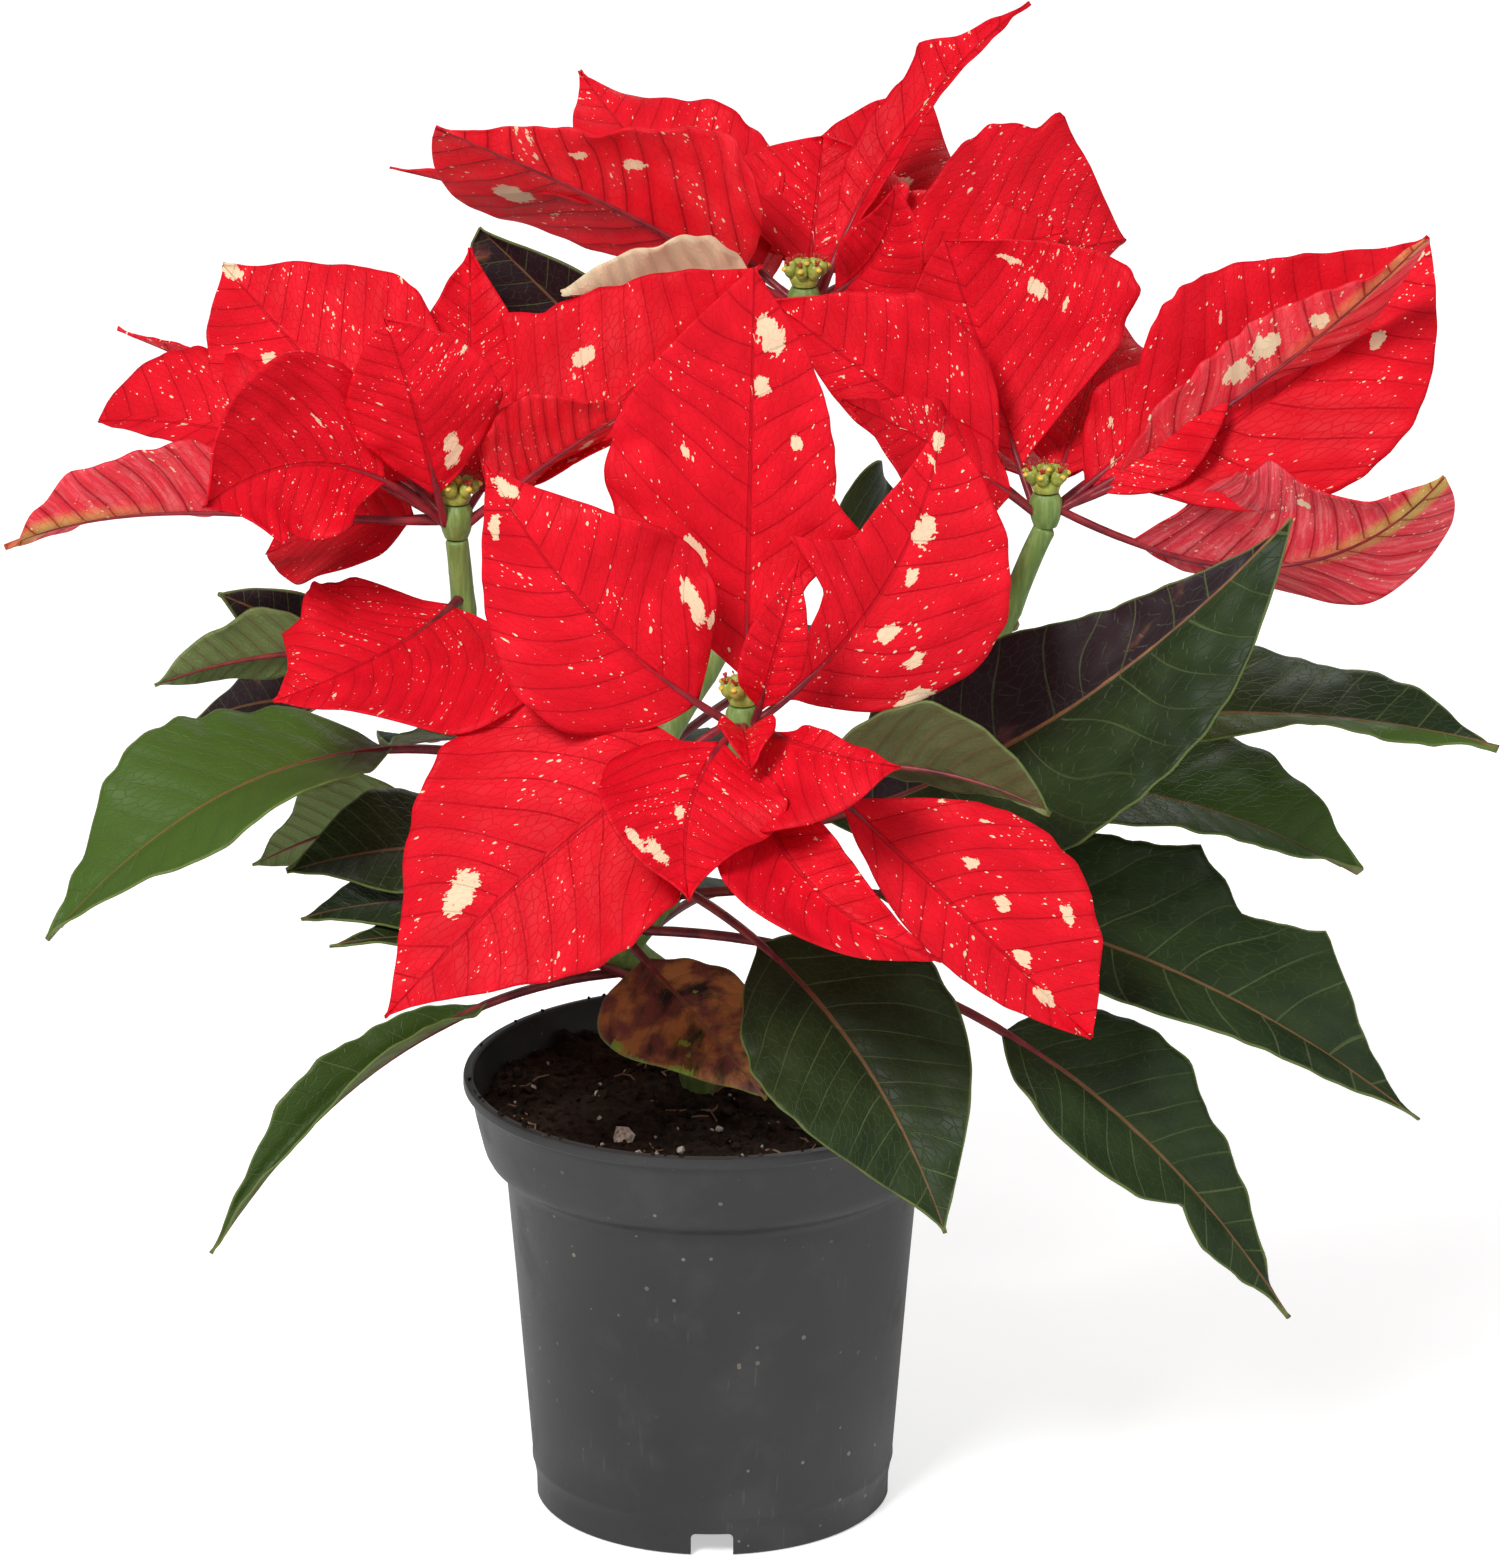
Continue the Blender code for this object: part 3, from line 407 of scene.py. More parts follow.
rootlet_skin, tree, shader = new_material("dead rootlet", 0.8)
tone = noise_of(tree, place(tree), 500.0)
tree.links.new(mixed(tree, tone, (0.14, 0.07, 0.04, 1), (0.42, 0.25, 0.14, 1)),
               shader.inputs["Base Color"])
rods = []
for root in ROOTLETS:
    line = smooth_path([Vector((x, y, crumb_height(x, y) + 0.7)) for x, y in root], 14)
    rods.append([(spot + Vector((0, 0, 0.5 * math.sin(i))), 0.34 - 0.014 * i)
                 for i, spot in enumerate(line)])
for _ in range(FIBRES):
    x, y = anywhere(draw, 0.88)
    turn, length = draw.uniform(0, 2 * math.pi), draw.uniform(2.0, 5.0)
    fibre = []
    for k in (-1.0, -0.3, 0.4, 1.0):
        a, b = x + k * length * math.cos(turn + 0.4 * k), y + k * length * math.sin(turn + 0.4 * k)
        fibre.append((Vector((a, b, crumb_height(a, b) + 0.5 + 0.3 * k * k)), 0.30 - 0.1 * k * k))
    rods.append(fibre)
rootlets = round_rods("rootlets", rods, rootlet_skin, 1)
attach(rootlets, "root")


# Stem: one green, slightly woody shoot that leans out of the soil and forks into four flowering
# branches. It swells where each leaf grew and keeps a pale scar where one has dropped.
FOOT_LEAN = Vector((-7, -1, 30)).normalized()
STEM_DEPTH = 40.0
FORK = Vector((-26, 6, 152))
BRANCHES = {
    "front": (Vector((-13, -14, 176)), Vector((2, -42, 204)), Vector((8, -60, 228))),
    "left": (Vector((-42, 6, 182)), Vector((-60, 0, 222)), Vector((-65, -5, 264))),
    "back": (Vector((-18, 26, 188)), Vector((12, 48, 240)), Vector((24, 55, 305))),
    "right": (Vector((4, 12, 178)), Vector((62, 15, 214)), Vector((86, 15, 261))),
}
TRUNK_RADIUS = 4.8
BRANCH_RADII = (4.2, 3.1)
BRANCH_STEPS = 60
NODE_SPACING = 0.17
STEM_GRAIN = 0.8
SCARS = {"left": (0.45, 0.62, 0.8), "right": (0.5, 0.66, 0.83), "front": (0.4, 0.7),
         "back": (0.4, 0.57, 0.74, 0.9)}


def branch_points(name):
    if name == "trunk":
        return [TRUNK_FOOT, TRUNK_FOOT + FOOT_LEAN * 20, FORK]
    return [FORK - Vector((0, 0, 6))] + list(BRANCHES[name])


def branch_at(name, where):
    """Point, direction and radius of a branch at where, from 0 to 1 along it."""
    path = smooth_path(branch_points(name), 41)
    i = min(39, max(1, round(where * 40)))
    start, end = (TRUNK_RADIUS, TRUNK_RADIUS) if name == "trunk" else BRANCH_RADII
    return path[i], (path[i + 1] - path[i - 1]).normalized(), start + (end - start) * where


def stem_material():
    material, tree, shader = new_material("green stem", 0.48, Subsurface_Weight=0.08,
                                          Subsurface_Scale=0.002)
    spot = place(tree)
    height = put(tree, "SeparateXYZ", {0: spot}).outputs[2]
    long = put(tree, "VectorMath", {0: spot, 1: (1.0, 1.0, 0.12)}, operation="MULTIPLY").outputs[0]
    streak = ramp(tree, noise_of(tree, long, 700.0, 3.0), 0.35, 0.7)
    base = mixed(tree, streak, (0.155, 0.26, 0.055, 1), (0.25, 0.37, 0.10, 1))
    woody = ramp(tree, height, 0.150, 0.112)
    patch = ramp(tree, noise_of(tree, spot, 130.0, 4.0), 0.42, 0.62)
    base = mixed(tree, maths(tree, "MULTIPLY", woody, patch), base, (0.19, 0.135, 0.065, 1))
    cells = put(tree, "TexVoronoi", {"Vector": long, "Scale": 330.0})
    pore = maths(tree, "LESS_THAN", cells.outputs["Distance"], 0.14)
    base = mixed(tree, maths(tree, "MULTIPLY", pore, 0.5), base, (0.40, 0.42, 0.20, 1))
    tree.links.new(base, shader.inputs["Base Color"])
    bump = put(tree, "Bump", {"Strength": 0.35, "Distance": 0.0004, "Height": streak})
    tree.links.new(bump.outputs[0], shader.inputs["Normal"])
    return material


green_stem = stem_material()
rods = []
root = TRUNK_FOOT - FOOT_LEAN * STEM_DEPTH
trunk = [root] + smooth_path(branch_points("trunk"), 22)
rods.append([(spot, TRUNK_RADIUS * (1.0 + 0.05 * math.sin(i * 1.3))) for i, spot in enumerate(trunk)])
for name in BRANCHES:
    path = smooth_path(branch_points(name), BRANCH_STEPS)
    rod = []
    for i, spot in enumerate(path):
        share = i / (BRANCH_STEPS - 1)
        radius = BRANCH_RADII[0] + (BRANCH_RADII[1] - BRANCH_RADII[0]) * share
        joint = abs((share / NODE_SPACING) % 1.0 - 0.5) * 2
        swell = 0.10 * max(0.0, joint - 0.72) / 0.28
        rod.append((spot, radius * (0.97 + swell)))
    rods.append(rod)
stem = round_rods("branching_stem", rods, green_stem, 6)
remesh = stem.modifiers.new("grown together", "REMESH")
remesh.mode = "VOXEL"
remesh.voxel_size = STEM_GRAIN * MM
remesh.use_smooth_shade = True
bpy.context.view_layer.update()
stem.data = bpy.data.meshes.new_from_object(stem.evaluated_get(bpy.context.evaluated_depsgraph_get()))
stem.modifiers.clear()
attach(stem, "root")
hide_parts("stem")

rods = []
for name, scar_places in SCARS.items():
    for i, where in enumerate(scar_places):
        middle, along, radius = branch_at(name, where)
        side = Matrix.Rotation(2.4 * i + 0.6, 3, along) @ along.orthogonal().normalized()
        start = middle + side * (radius * 0.9)
        rods.append([(start - along * 1.6, 0.3), (start - along * 0.6 + side * 0.35, 0.8),
                     (start + along * 0.6 + side * 0.35, 0.8), (start + along * 1.6, 0.3)])
scar_skin, tree, shader = new_material("leaf scar", 0.75)
tone = noise_of(tree, place(tree), 900.0)
tree.links.new(mixed(tree, tone, (0.20, 0.15, 0.08, 1), (0.42, 0.36, 0.20, 1)),
               shader.inputs["Base Color"])
scars = round_rods("leaf_scars", rods, scar_skin, 3)
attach(scars, "root")


# Blooms: layers of bracts, which are coloured leaves, round each cluster of small flowers. A bract is
# a soft pointed blade on a dark red stalk, with a wavy edge, puffed skin between raised veins, a
# paler underside, and cream flecks where it lacks red pigment. It grows from the branch's end.
BLADE_THICKNESS = 0.55
OUTLINE_POWER = 2.15
LOBE_REACH = 0.11
VEINS_ON_A_BLADE = 11
LEAST_VEIN_GAP = 4.5
VEIN_SLOPE = 0.6
VEIN_CURVE = 0.008
PUFF = 0.028
EDGE_BAND = 6.0
PATCH_STRETCH = 0.65
RIB_STEPS = 27
BRACT_STALK_RADIUS = 1.15
CORE_PROFILE = ((0, 0), (3.0, 0), (3.6, 1.5), (4.4, 4.5), (4.2, 7.2), (3.4, 8.8), (0, 9.0))
CORE_RADIUS = 4.6
CORE_HEIGHT = 9.0
HEART_RISE = 7.0
GAP = 0.3


@dataclass
class Blade:
    """One leaf or bract. Lengths in mm, angles in degrees, the rest shares of length or width.

    tip is its end, halves its left and right half widths, and face its upper side's direction.
    belly is where each half is widest, and arch, hook and bow bend its middle line. fold and cup
    lift its halves. lobes and patches give a side or a place across, a place along and a size.
    tint is each half's colour: red 0 to pink 1 on bracts, pale -1 to green 0 to purple 1 on leaves.
    """
    tip: tuple
    halves: tuple
    face: tuple = (0, 0, 1)
    stalk: float = 0.14
    belly: tuple = (0.42, 0.42)
    arch: float = 0.0
    hook: float = 0.0
    bow: float = 0.0
    fold: tuple = (10, 10)
    cup: tuple = (0, 0)
    wave: float = 0.04
    waves: float = 2.0
    lobes: tuple = ()
    patches: tuple = ()
    tint: tuple = (0, 0)


BLOOMS = {
    "front": {
        "top": Blade((3, 18, 110), (36, 22), (0, -1, 0.2), stalk=0.08, belly=(0.5, 0.5),
                     arch=-0.06, fold=(8, 12), lobes=((1, 0.34, 0.5),),
                     patches=((0.84, 0.4, 3.0), (0.71, 0.15, 1.8), (0.3, -0.45, 2.4),
                              (0.58, 0.55, 1.2))),
        "left": Blade((-64, 5, 64), (27, 31), (-0.1, -0.95, 0.3), stalk=0.1, belly=(0.37, 0.37),
                      arch=0.04, bow=-0.07, fold=(4, 14), wave=0.05,
                      patches=((0.9, 0.3, 1.9), (0.82, -0.6, 1.4), (0.26, 0.75, 2.2),
                               (0.2, 0.75, 2.0), (0.14, 0.9, 1.1))),
        "right": Blade((50, 12, 73), (13, 31), (0.1, -0.95, 0.3), stalk=0.1, belly=(0.46, 0.46),
                       arch=-0.03, bow=0.11, lobes=((-1, 0.44, 1.2),),
                       patches=((0.93, -0.1, 1.4), (0.66, 0.1, 2.4), (0.52, 0.15, 1.4),
                                (0.34, 0.25, 1.8), (0.32, 0.6, 1.6), (0.25, 0.92, 2.2))),
        "small_upright": Blade((14, -14, 44), (9, 8), (0.1, -0.9, 0.4), arch=0.1,
                               fold=(20, 20)),
        "low_left": Blade((-89, -28, -71), (33, 39), (-0.15, -0.85, 0.5), stalk=0.1,
                          belly=(0.38, 0.38), arch=0.05, bow=0.02, fold=(8, 4),
                          patches=((0.66, 0.3, 3.2),)),
        "low_middle": Blade((-13, -52, -32), (24, 24), (0, -0.5, 0.85), arch=0.05, bow=0.1,
                            patches=((0.75, 0.5, 1.8), (0.7, 0.75, 1.4), (0.5, 0.1, 1.2))),
        "small_folded": Blade((2, -30, -5), (9, 9), (0, -0.5, 0.9), arch=0.08, fold=(35, 35)),
        "short_right": Blade((39, -32, -4), (5, 28), (0.1, -0.8, 0.6), arch=0.05, bow=0.06),
        "low_right": Blade((87, -24, -78), (29, 14), (0.1, -0.9, 0.4), stalk=0.24,
                           belly=(0.54, 0.5), arch=0.04, fold=(6, 16),
                           patches=((0.55, -0.3, 1.6), (0.7, -0.1, 1.6), (0.82, 0.1, 1.8),
                                    (0.7, -0.7, 1.5), (0.4, -0.4, 1.4))),
        "low_curled": Blade((49, -52, -47), (13, 22), (-0.1, -0.75, 0.65), arch=0.04, bow=0.18,
                            fold=(15, 25), cup=(30, 20)),
    },
    "left": {
        "far_left": Blade((-114, -17, -4), (20, 20), (0, 0.5, 0.85), stalk=0.3, arch=0.05,
                          fold=(45, 10), hook=0.04, tint=(0.8, 0.8)),
        "cup": Blade((-62, -40, 13), (22, 31), (-0.1, -0.9, 0.4), stalk=0.25, belly=(0.5, 0.5), bow=0.18,
                     cup=(30, 25), lobes=((-1, 0.8, 0.3),)),
        "left_back": Blade((-93, 33, 14), (7, 21), (0, -0.6, 0.8), belly=(0.6, 0.7), arch=0.13,
                           fold=(10, 20)),
        "thin": Blade((-89, 50, 34), (13, 13), (0.2, 0.2, 0.95), arch=0.04, fold=(25, 25)),
        "upper": Blade((-61, 47, 52), (26, 33), (-0.2, -0.75, 0.6), belly=(0.5, 0.44), arch=0.03,
                       patches=((0.96, 0.2, 1.6), (0.62, -0.3, 1.7), (0.4, -0.5, 1.4))),
        "upright": Blade((3, 39, 59), (15, 17), (-0.2, -0.95, 0.3), arch=-0.06),
        "middle": Blade((-17, -15, 55), (17, 22), (0.2, -0.9, 0.4), belly=(0.55, 0.55), arch=0.07,
                        fold=(-25, 20), patches=((0.22, 0.5, 1.8), (0.3, 0.4, 1.6))),
        "middle_right": Blade((47, -13, 32), (15, 20), (-0.1, 0.75, 0.65), arch=0.03,
                              fold=(30, 20), patches=((0.8, -0.3, 1.3), (0.55, -0.6, 1.5))),
        "right": Blade((78, 25, 58), (30, 13), (-0.3, -0.6, 0.7), arch=-0.04, fold=(30, 25),
                       lobes=((-1, 0.3, 0.3),), patches=((0.42, -0.5, 2.0), (0.5, 0.5, 1.6))),
        "rear_low": Blade((-50, 34, -22), (20, 25), (-0.2, -0.6, 0.75), arch=0.08),
        "back": Blade((-28, 62, 2), (23, 23), (0, 0.1, 1), arch=0.06),
        "back_right": Blade((30, 60, 14), (22, 22), (0, 0, 1), arch=0.06),
    },
    "back": {
        "left": Blade((-95, -11, 47), (33, 29), (0.1, 0.8, 0.55), belly=(0.27, 0.66), arch=0.03,
                      patches=((0.68, 0.5, 3.0), (0.45, -0.5, 1.6), (0.6, -0.5, 1.3))),
        "thin": Blade((-108, 15, 30), (13, 13), (0, 0.3, 0.95), arch=0.03, fold=(20, 20)),
        "top_left": Blade((-59, 53, 46), (24, 27), (-0.1, -0.6, 0.75), belly=(0.42, 0.36),
                          arch=0.03, bow=-0.04),
        "top_long": Blade((58, 15, 74), (10, 5), (-0.5, -0.6, 0.5), belly=(0.42, 0.32), arch=-0.04,
                          bow=-0.13, fold=(25, 15), lobes=((-1, 0.66, 0.5),)),
        "pointed": Blade((33, 57, 42), (22, 22), (-0.2, -0.9, 0.3), arch=-0.04,
                         patches=((0.75, -0.4, 2.6), (0.5, 0.3, 2.4))),
        "right": Blade((85, 32, 6), (36, 14), (-0.1, -0.9, 0.4), belly=(0.62, 0.5), arch=0.03,
                       lobes=((-1, 0.84, 0.25),)),
        "inner_right": Blade((69, 20, 11), (20, 20), (-0.2, -0.6, 0.7), arch=0.03, wave=0.07),
        "cup": Blade((23, -16, 33), (10, 15), (0.1, -0.9, 0.4), arch=-0.05, bow=0.13,
                     fold=(20, 20)),
        "cream": Blade((-62, -35, 9), (18, 8), (0, 0.9, 0.35), arch=0.03, patches=((0.5, 0, 60),)),
        "rear": Blade((16, 82, 6), (25, 25), (0, 0.1, 1), arch=0.08),
        "rear_left": Blade((-52, 66, -4), (23, 23), (0, 0, 1), arch=0.08),
        "rear_right": Blade((62, 60, -6), (23, 23), (0, 0, 1), arch=0.08),
        "rise": Blade((5, 30, 34), (26, 24), (0, -0.9, 0.4), belly=(0.58, 0.58)),
    },
    "right": {
        "upright": Blade((-26, 22, 63), (18, 45), (0, -0.95, 0.3), belly=(0.6, 0.6), arch=-0.07,
                         cup=(15, 15), patches=((0.7, 0.45, 1.8), (0.85, 0.5, 1.3))),
        "round": Blade((99, 30, 62), (36, 32), (0, -0.9, 0.4), belly=(0.42, 0.5), arch=0.03,
                       bow=0.08, patches=((0.72, 0.3, 1.5), (0.5, -0.4, 1.5), (0.95, 0.1, 1.3))),
        "inner": Blade((50, 10, 38), (17, 17), (-0.2, -0.8, 0.5), arch=-0.03),
        "folded": Blade((95, -10, 72), (17, 16), (-0.3, 0.75, 0.55), belly=(0.68, 0.36), arch=0.03,
                        bow=-0.1, fold=(20, 15),
                        patches=((0.4, 0.45, 2.6), (0.5, 0.5, 2.6), (0.65, 0.3, 1.8)),
                        tint=(0.5, 0.5)),
        "pink": Blade((100, -27, 14), (20, 34), (0, 0.85, 0.5), stalk=0.15, belly=(0.6, 0.36),
                      arch=0.02, bow=-0.3, wave=0.07, tint=(1, 1),
                      patches=((0.2, 0.7, 1.8), (0.6, 0.6, 1.3))),
        "left": Blade((-53, -23, 33), (23, 12), (0, -0.6, 0.8), arch=0.04),
        "left_high": Blade((-71, 7, 51), (12, 26), (0.1, -0.9, 0.4), belly=(0.42, 0.46),
                           arch=0.05),
        "rear_dark": Blade((20, 55, 35), (20, 20), (0, -0.6, 0.8), arch=0.04),
        "rear_right": Blade((66, 58, 8), (23, 23), (0, 0, 1), arch=0.08),
        "rear": Blade((4, 74, -6), (22, 22), (0, 0, 1), arch=0.08),
    },
}


def half_width(blade, side, along):
    """Half width of a blade in mm at a place along it, past its stalk."""
    belly = blade.belly[side > 0]
    rise = OUTLINE_POWER * belly
    fall = OUTLINE_POWER - rise
    peak = belly ** rise * (1 - belly) ** fall
    outline = along ** rise * (1 - along) ** fall / peak
    for lobe_side, where, size in blade.lobes:
        if lobe_side == side:
            outline += size * max(0.0, 1 - abs(along - where) / LOBE_REACH) ** 1.25
    least = 0.35 if along > 0.5 else 0.9
    return max(least, blade.halves[side > 0] * outline)


def blade_frame(blade, reach):
    """Direction, upper side and right-hand side of a blade's straight line."""
    along = reach.normalized()
    face = Vector(blade.face)
    face = (face - along * face.dot(along)).normalized()
    return along, face, along.cross(face)


def spine(blade, reach, t):
    """Middle line of a blade, from its stalk's start at t = 0 to its tip at t = 1."""
    face, right = blade_frame(blade, reach)[1:]
    swell = 4 * t * (1 - t) * reach.length
    rise = blade.arch + blade.hook * (2 * t - 1)
    return reach * t + face * swell * rise + right * swell * blade.bow


def spine_turn(blade, reach, t):
    """Up and right-hand directions at a place on the middle line."""
    face = blade_frame(blade, reach)[1]
    forward = (spine(blade, reach, t + 0.01) - spine(blade, reach, t - 0.01)).normalized()
    up = (face - forward * face.dot(forward)).normalized()
    return up, forward.cross(up)


def add_blade(bm, blade, start, reach, seed):
    """One blade's sheet, with its vein map and its marks kept on its points."""
    lay = bm.verts.layers.float_vector["lay"]
    marks = bm.verts.layers.float_vector["marks"]
    from_base = bm.verts.layers.float["from_base"]
    length = reach.length * (1 - blade.stalk)
    vein_gap = max(LEAST_VEIN_GAP, length / VEINS_ON_A_BLADE)
    whole_width = sum(blade.halves)
    roll_size = min(1.0, whole_width / 45)
    columns = 2 * round(min(20, max(9, whole_width / 3)))
    made = bmesh.ops.create_grid(bm, x_segments=columns,
                                 y_segments=round(min(84, max(36, length / 1.3))), size=1.0)
    rows = {}
    for vert in made["verts"]:
        across, along = vert.co.x, (vert.co.y + 1) / 2
        key = round(along, 5)
        if key not in rows:
            t = blade.stalk + (1 - blade.stalk) * along
            widths = [half_width(blade, side, along) for side in (-1, 1)]
            rows[key] = (spine(blade, reach, t), spine_turn(blade, reach, t), widths)
        middle, (up, out), widths = rows[key]
        side = 1 if across > 0 else -1
        u = abs(across) ** 1.1
        wide = widths[side > 0]
        distance = u * wide
        level = length * along
        spread = min(1.0, along * 6)
        bend = math.radians(blade.cup[side > 0]) * u * spread
        angle = math.radians(blade.fold[side > 0]) * spread * min(1.0, distance / 3.0) + bend / 2
        flat = distance * (math.sin(bend / 2) / (bend / 2) if abs(bend) > 1e-4 else 1.0)
        ripple = math.sin(2 * math.pi * blade.waves * along + (0.6 if side > 0 else 3.6))
        ripple *= blade.wave * whole_width * u ** 1.6 * 4 * along * (1 - along)
        wander = 0.5 * noise.noise(Vector((side * 5 + distance * 0.03, level * 0.05, seed * 2.3)))
        vein = (level - VEIN_SLOPE * distance - VEIN_CURVE * distance ** 2) / vein_gap + wander
        vein += 0.45 if side > 0 else 0
        off = abs((vein % 1.0) - 0.5) * 2
        inside = min(1.0, distance / 3) * min(1.0, (wide - distance) / 5) if wide > 1 else 0.0
        puff = PUFF * vein_gap * (1 - off ** 2.2) * max(0.0, inside)
        roll = noise.noise(Vector((side * distance * 0.032, level * 0.032, seed * 7.7)))
        crumple = noise.noise(Vector((side * distance * 0.13, level * 0.13, seed * 3.1)))
        edge = noise.noise(Vector((side * 9.0 + seed, level * 0.16, 3.3))) * u ** 4
        lift = ripple + puff + 1.6 * edge + (3.6 * roll * u + 0.8 * crumple * u ** 0.5) * roll_size
        spot = (start + middle + out * (side * flat * math.cos(angle) * (1 + 0.05 * edge))
                + up * (flat * math.sin(angle) + lift))
        vert.co = spot * MM
        vert[lay] = Vector((side * distance * MM, vein, seed * 3.7))
        patch = 0.0
        for where, across_at, size in blade.patches:
            shift = Vector((side * distance - across_at * widths[across_at > 0],
                            (level - length * where) * PATCH_STRETCH))
            patch = max(patch, 1.0 - shift.length / (2 * size))
        from_edge = min(1.0, max(0.0, (wide - distance) / EDGE_BAND))
        half_share = min(1.0, max(0.0, 0.5 + side * distance / 1.2))
        tint = blade.tint[0] + (blade.tint[1] - blade.tint[0]) * half_share
        vert[marks] = Vector((patch, from_edge, tint))
        vert[from_base] = along


def rib_rod(blade, start, reach, thick):
    """The stalk and the midrib under a blade, as points and radii."""
    rod = []
    for i in range(RIB_STEPS):
        t = i / (RIB_STEPS - 1) * 0.97
        up = spine_turn(blade, reach, max(0.01, t))[0]
        past = max(0.0, (t - blade.stalk) / (1 - blade.stalk))
        radius = thick * (1 - 0.12 * min(1.0, t / blade.stalk)) * (1 - 0.8 * past ** 0.7)
        sink = min(1.0, past * 8) * (radius * 0.45 + 0.1)
        rod.append((start + spine(blade, reach, t) - up * sink, radius))
    return rod


def blades_piece(name, blades, upper, under):
    """A bloom's or a leaf's blades as one piece. blades holds (blade, start, reach, seed)."""
    bm = bmesh.new()
    bm.verts.layers.float_vector.new("lay")
    bm.verts.layers.float_vector.new("marks")
    bm.verts.layers.float.new("from_base")
    for blade, start, reach, seed in blades:
        add_blade(bm, blade, start, reach, seed)
    piece = link_mesh(name, bm, [upper, under], 80)
    solid = piece.modifiers.new("thickness", "SOLIDIFY")
    solid.thickness = BLADE_THICKNESS * MM
    solid.offset = 0.0
    solid.material_offset = 1
    solid.material_offset_rim = 0
    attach(piece, "root")
    return piece


def vein_group():
    """Midrib, side veins, the swell and painted shade beside them, net, tone, streaks, from a blade's
    vein map.
    """
    tree = bpy.data.node_groups.new("veins", "ShaderNodeTree")
    tree.interface.new_socket("Lay", in_out="INPUT", socket_type="NodeSocketVector")
    for name in ("From Base", "Width"):
        tree.interface.new_socket(name, in_out="INPUT", socket_type="NodeSocketFloat")
    for name in ("Rib", "Veins", "Swell and shade", "Net", "Tone", "Streaks"):
        tree.interface.new_socket(name, in_out="OUTPUT", socket_type="NodeSocketFloat")
    start = tree.nodes.new("NodeGroupInput")
    end = tree.nodes.new("NodeGroupOutput")
    parts = put(tree, "SeparateXYZ", {0: start.outputs["Lay"]}).outputs
    across = maths(tree, "ABSOLUTE", parts[0])
    wobble = maths(tree, "MULTIPLY", maths(tree, "SUBTRACT", noise_of(
        tree, start.outputs["Lay"], 90.0, 2.0), 0.5), 0.12)
    line = maths(tree, "PINGPONG", maths(tree, "ADD", parts[1], wobble), 0.5)
    width = start.outputs["Width"]
    side = ramp(tree, line, width, maths(tree, "MULTIPLY", width, 0.3))
    side = maths(tree, "MULTIPLY", side, ramp(tree, across, 0.034, 0.004, 0.35, 1.0))
    tree.links.new(side, end.inputs["Veins"])
    # A broad band round each vein: it shapes the swell in the bump, and bracts darken their colour in it
    # as painted shade.
    tree.links.new(ramp(tree, line, 0.32, 0.0), end.inputs["Swell and shade"])
    rib_width = ramp(tree, start.outputs["From Base"], 0.0, 1.0, 0.0010, 0.0003)
    rib = ramp(tree, across, rib_width, maths(tree, "MULTIPLY", rib_width, 0.4))
    tree.links.new(rib, end.inputs["Rib"])
    flat = put(tree, "CombineXYZ", {0: maths(tree, "MULTIPLY", parts[0], 160.0), 1: parts[1],
                                    2: parts[2]}).outputs[0]
    cells = put(tree, "TexVoronoi", {"Vector": flat, "Scale": 3.1}, feature="DISTANCE_TO_EDGE",
                voronoi_dimensions="2D")
    tree.links.new(ramp(tree, cells.outputs["Distance"], 0.08, 0.0), end.inputs["Net"])
    tree.links.new(noise_of(tree, flat, 0.5, 4.0), end.inputs["Tone"])
    along_veins = put(tree, "VectorMath", {0: flat, 1: (0.16, 1.0, 1.0)},
                      operation="MULTIPLY").outputs[0]
    tree.links.new(ramp(tree, noise_of(tree, along_veins, 5.0, 3.0), 0.4, 0.72), end.inputs["Streaks"])
    return tree


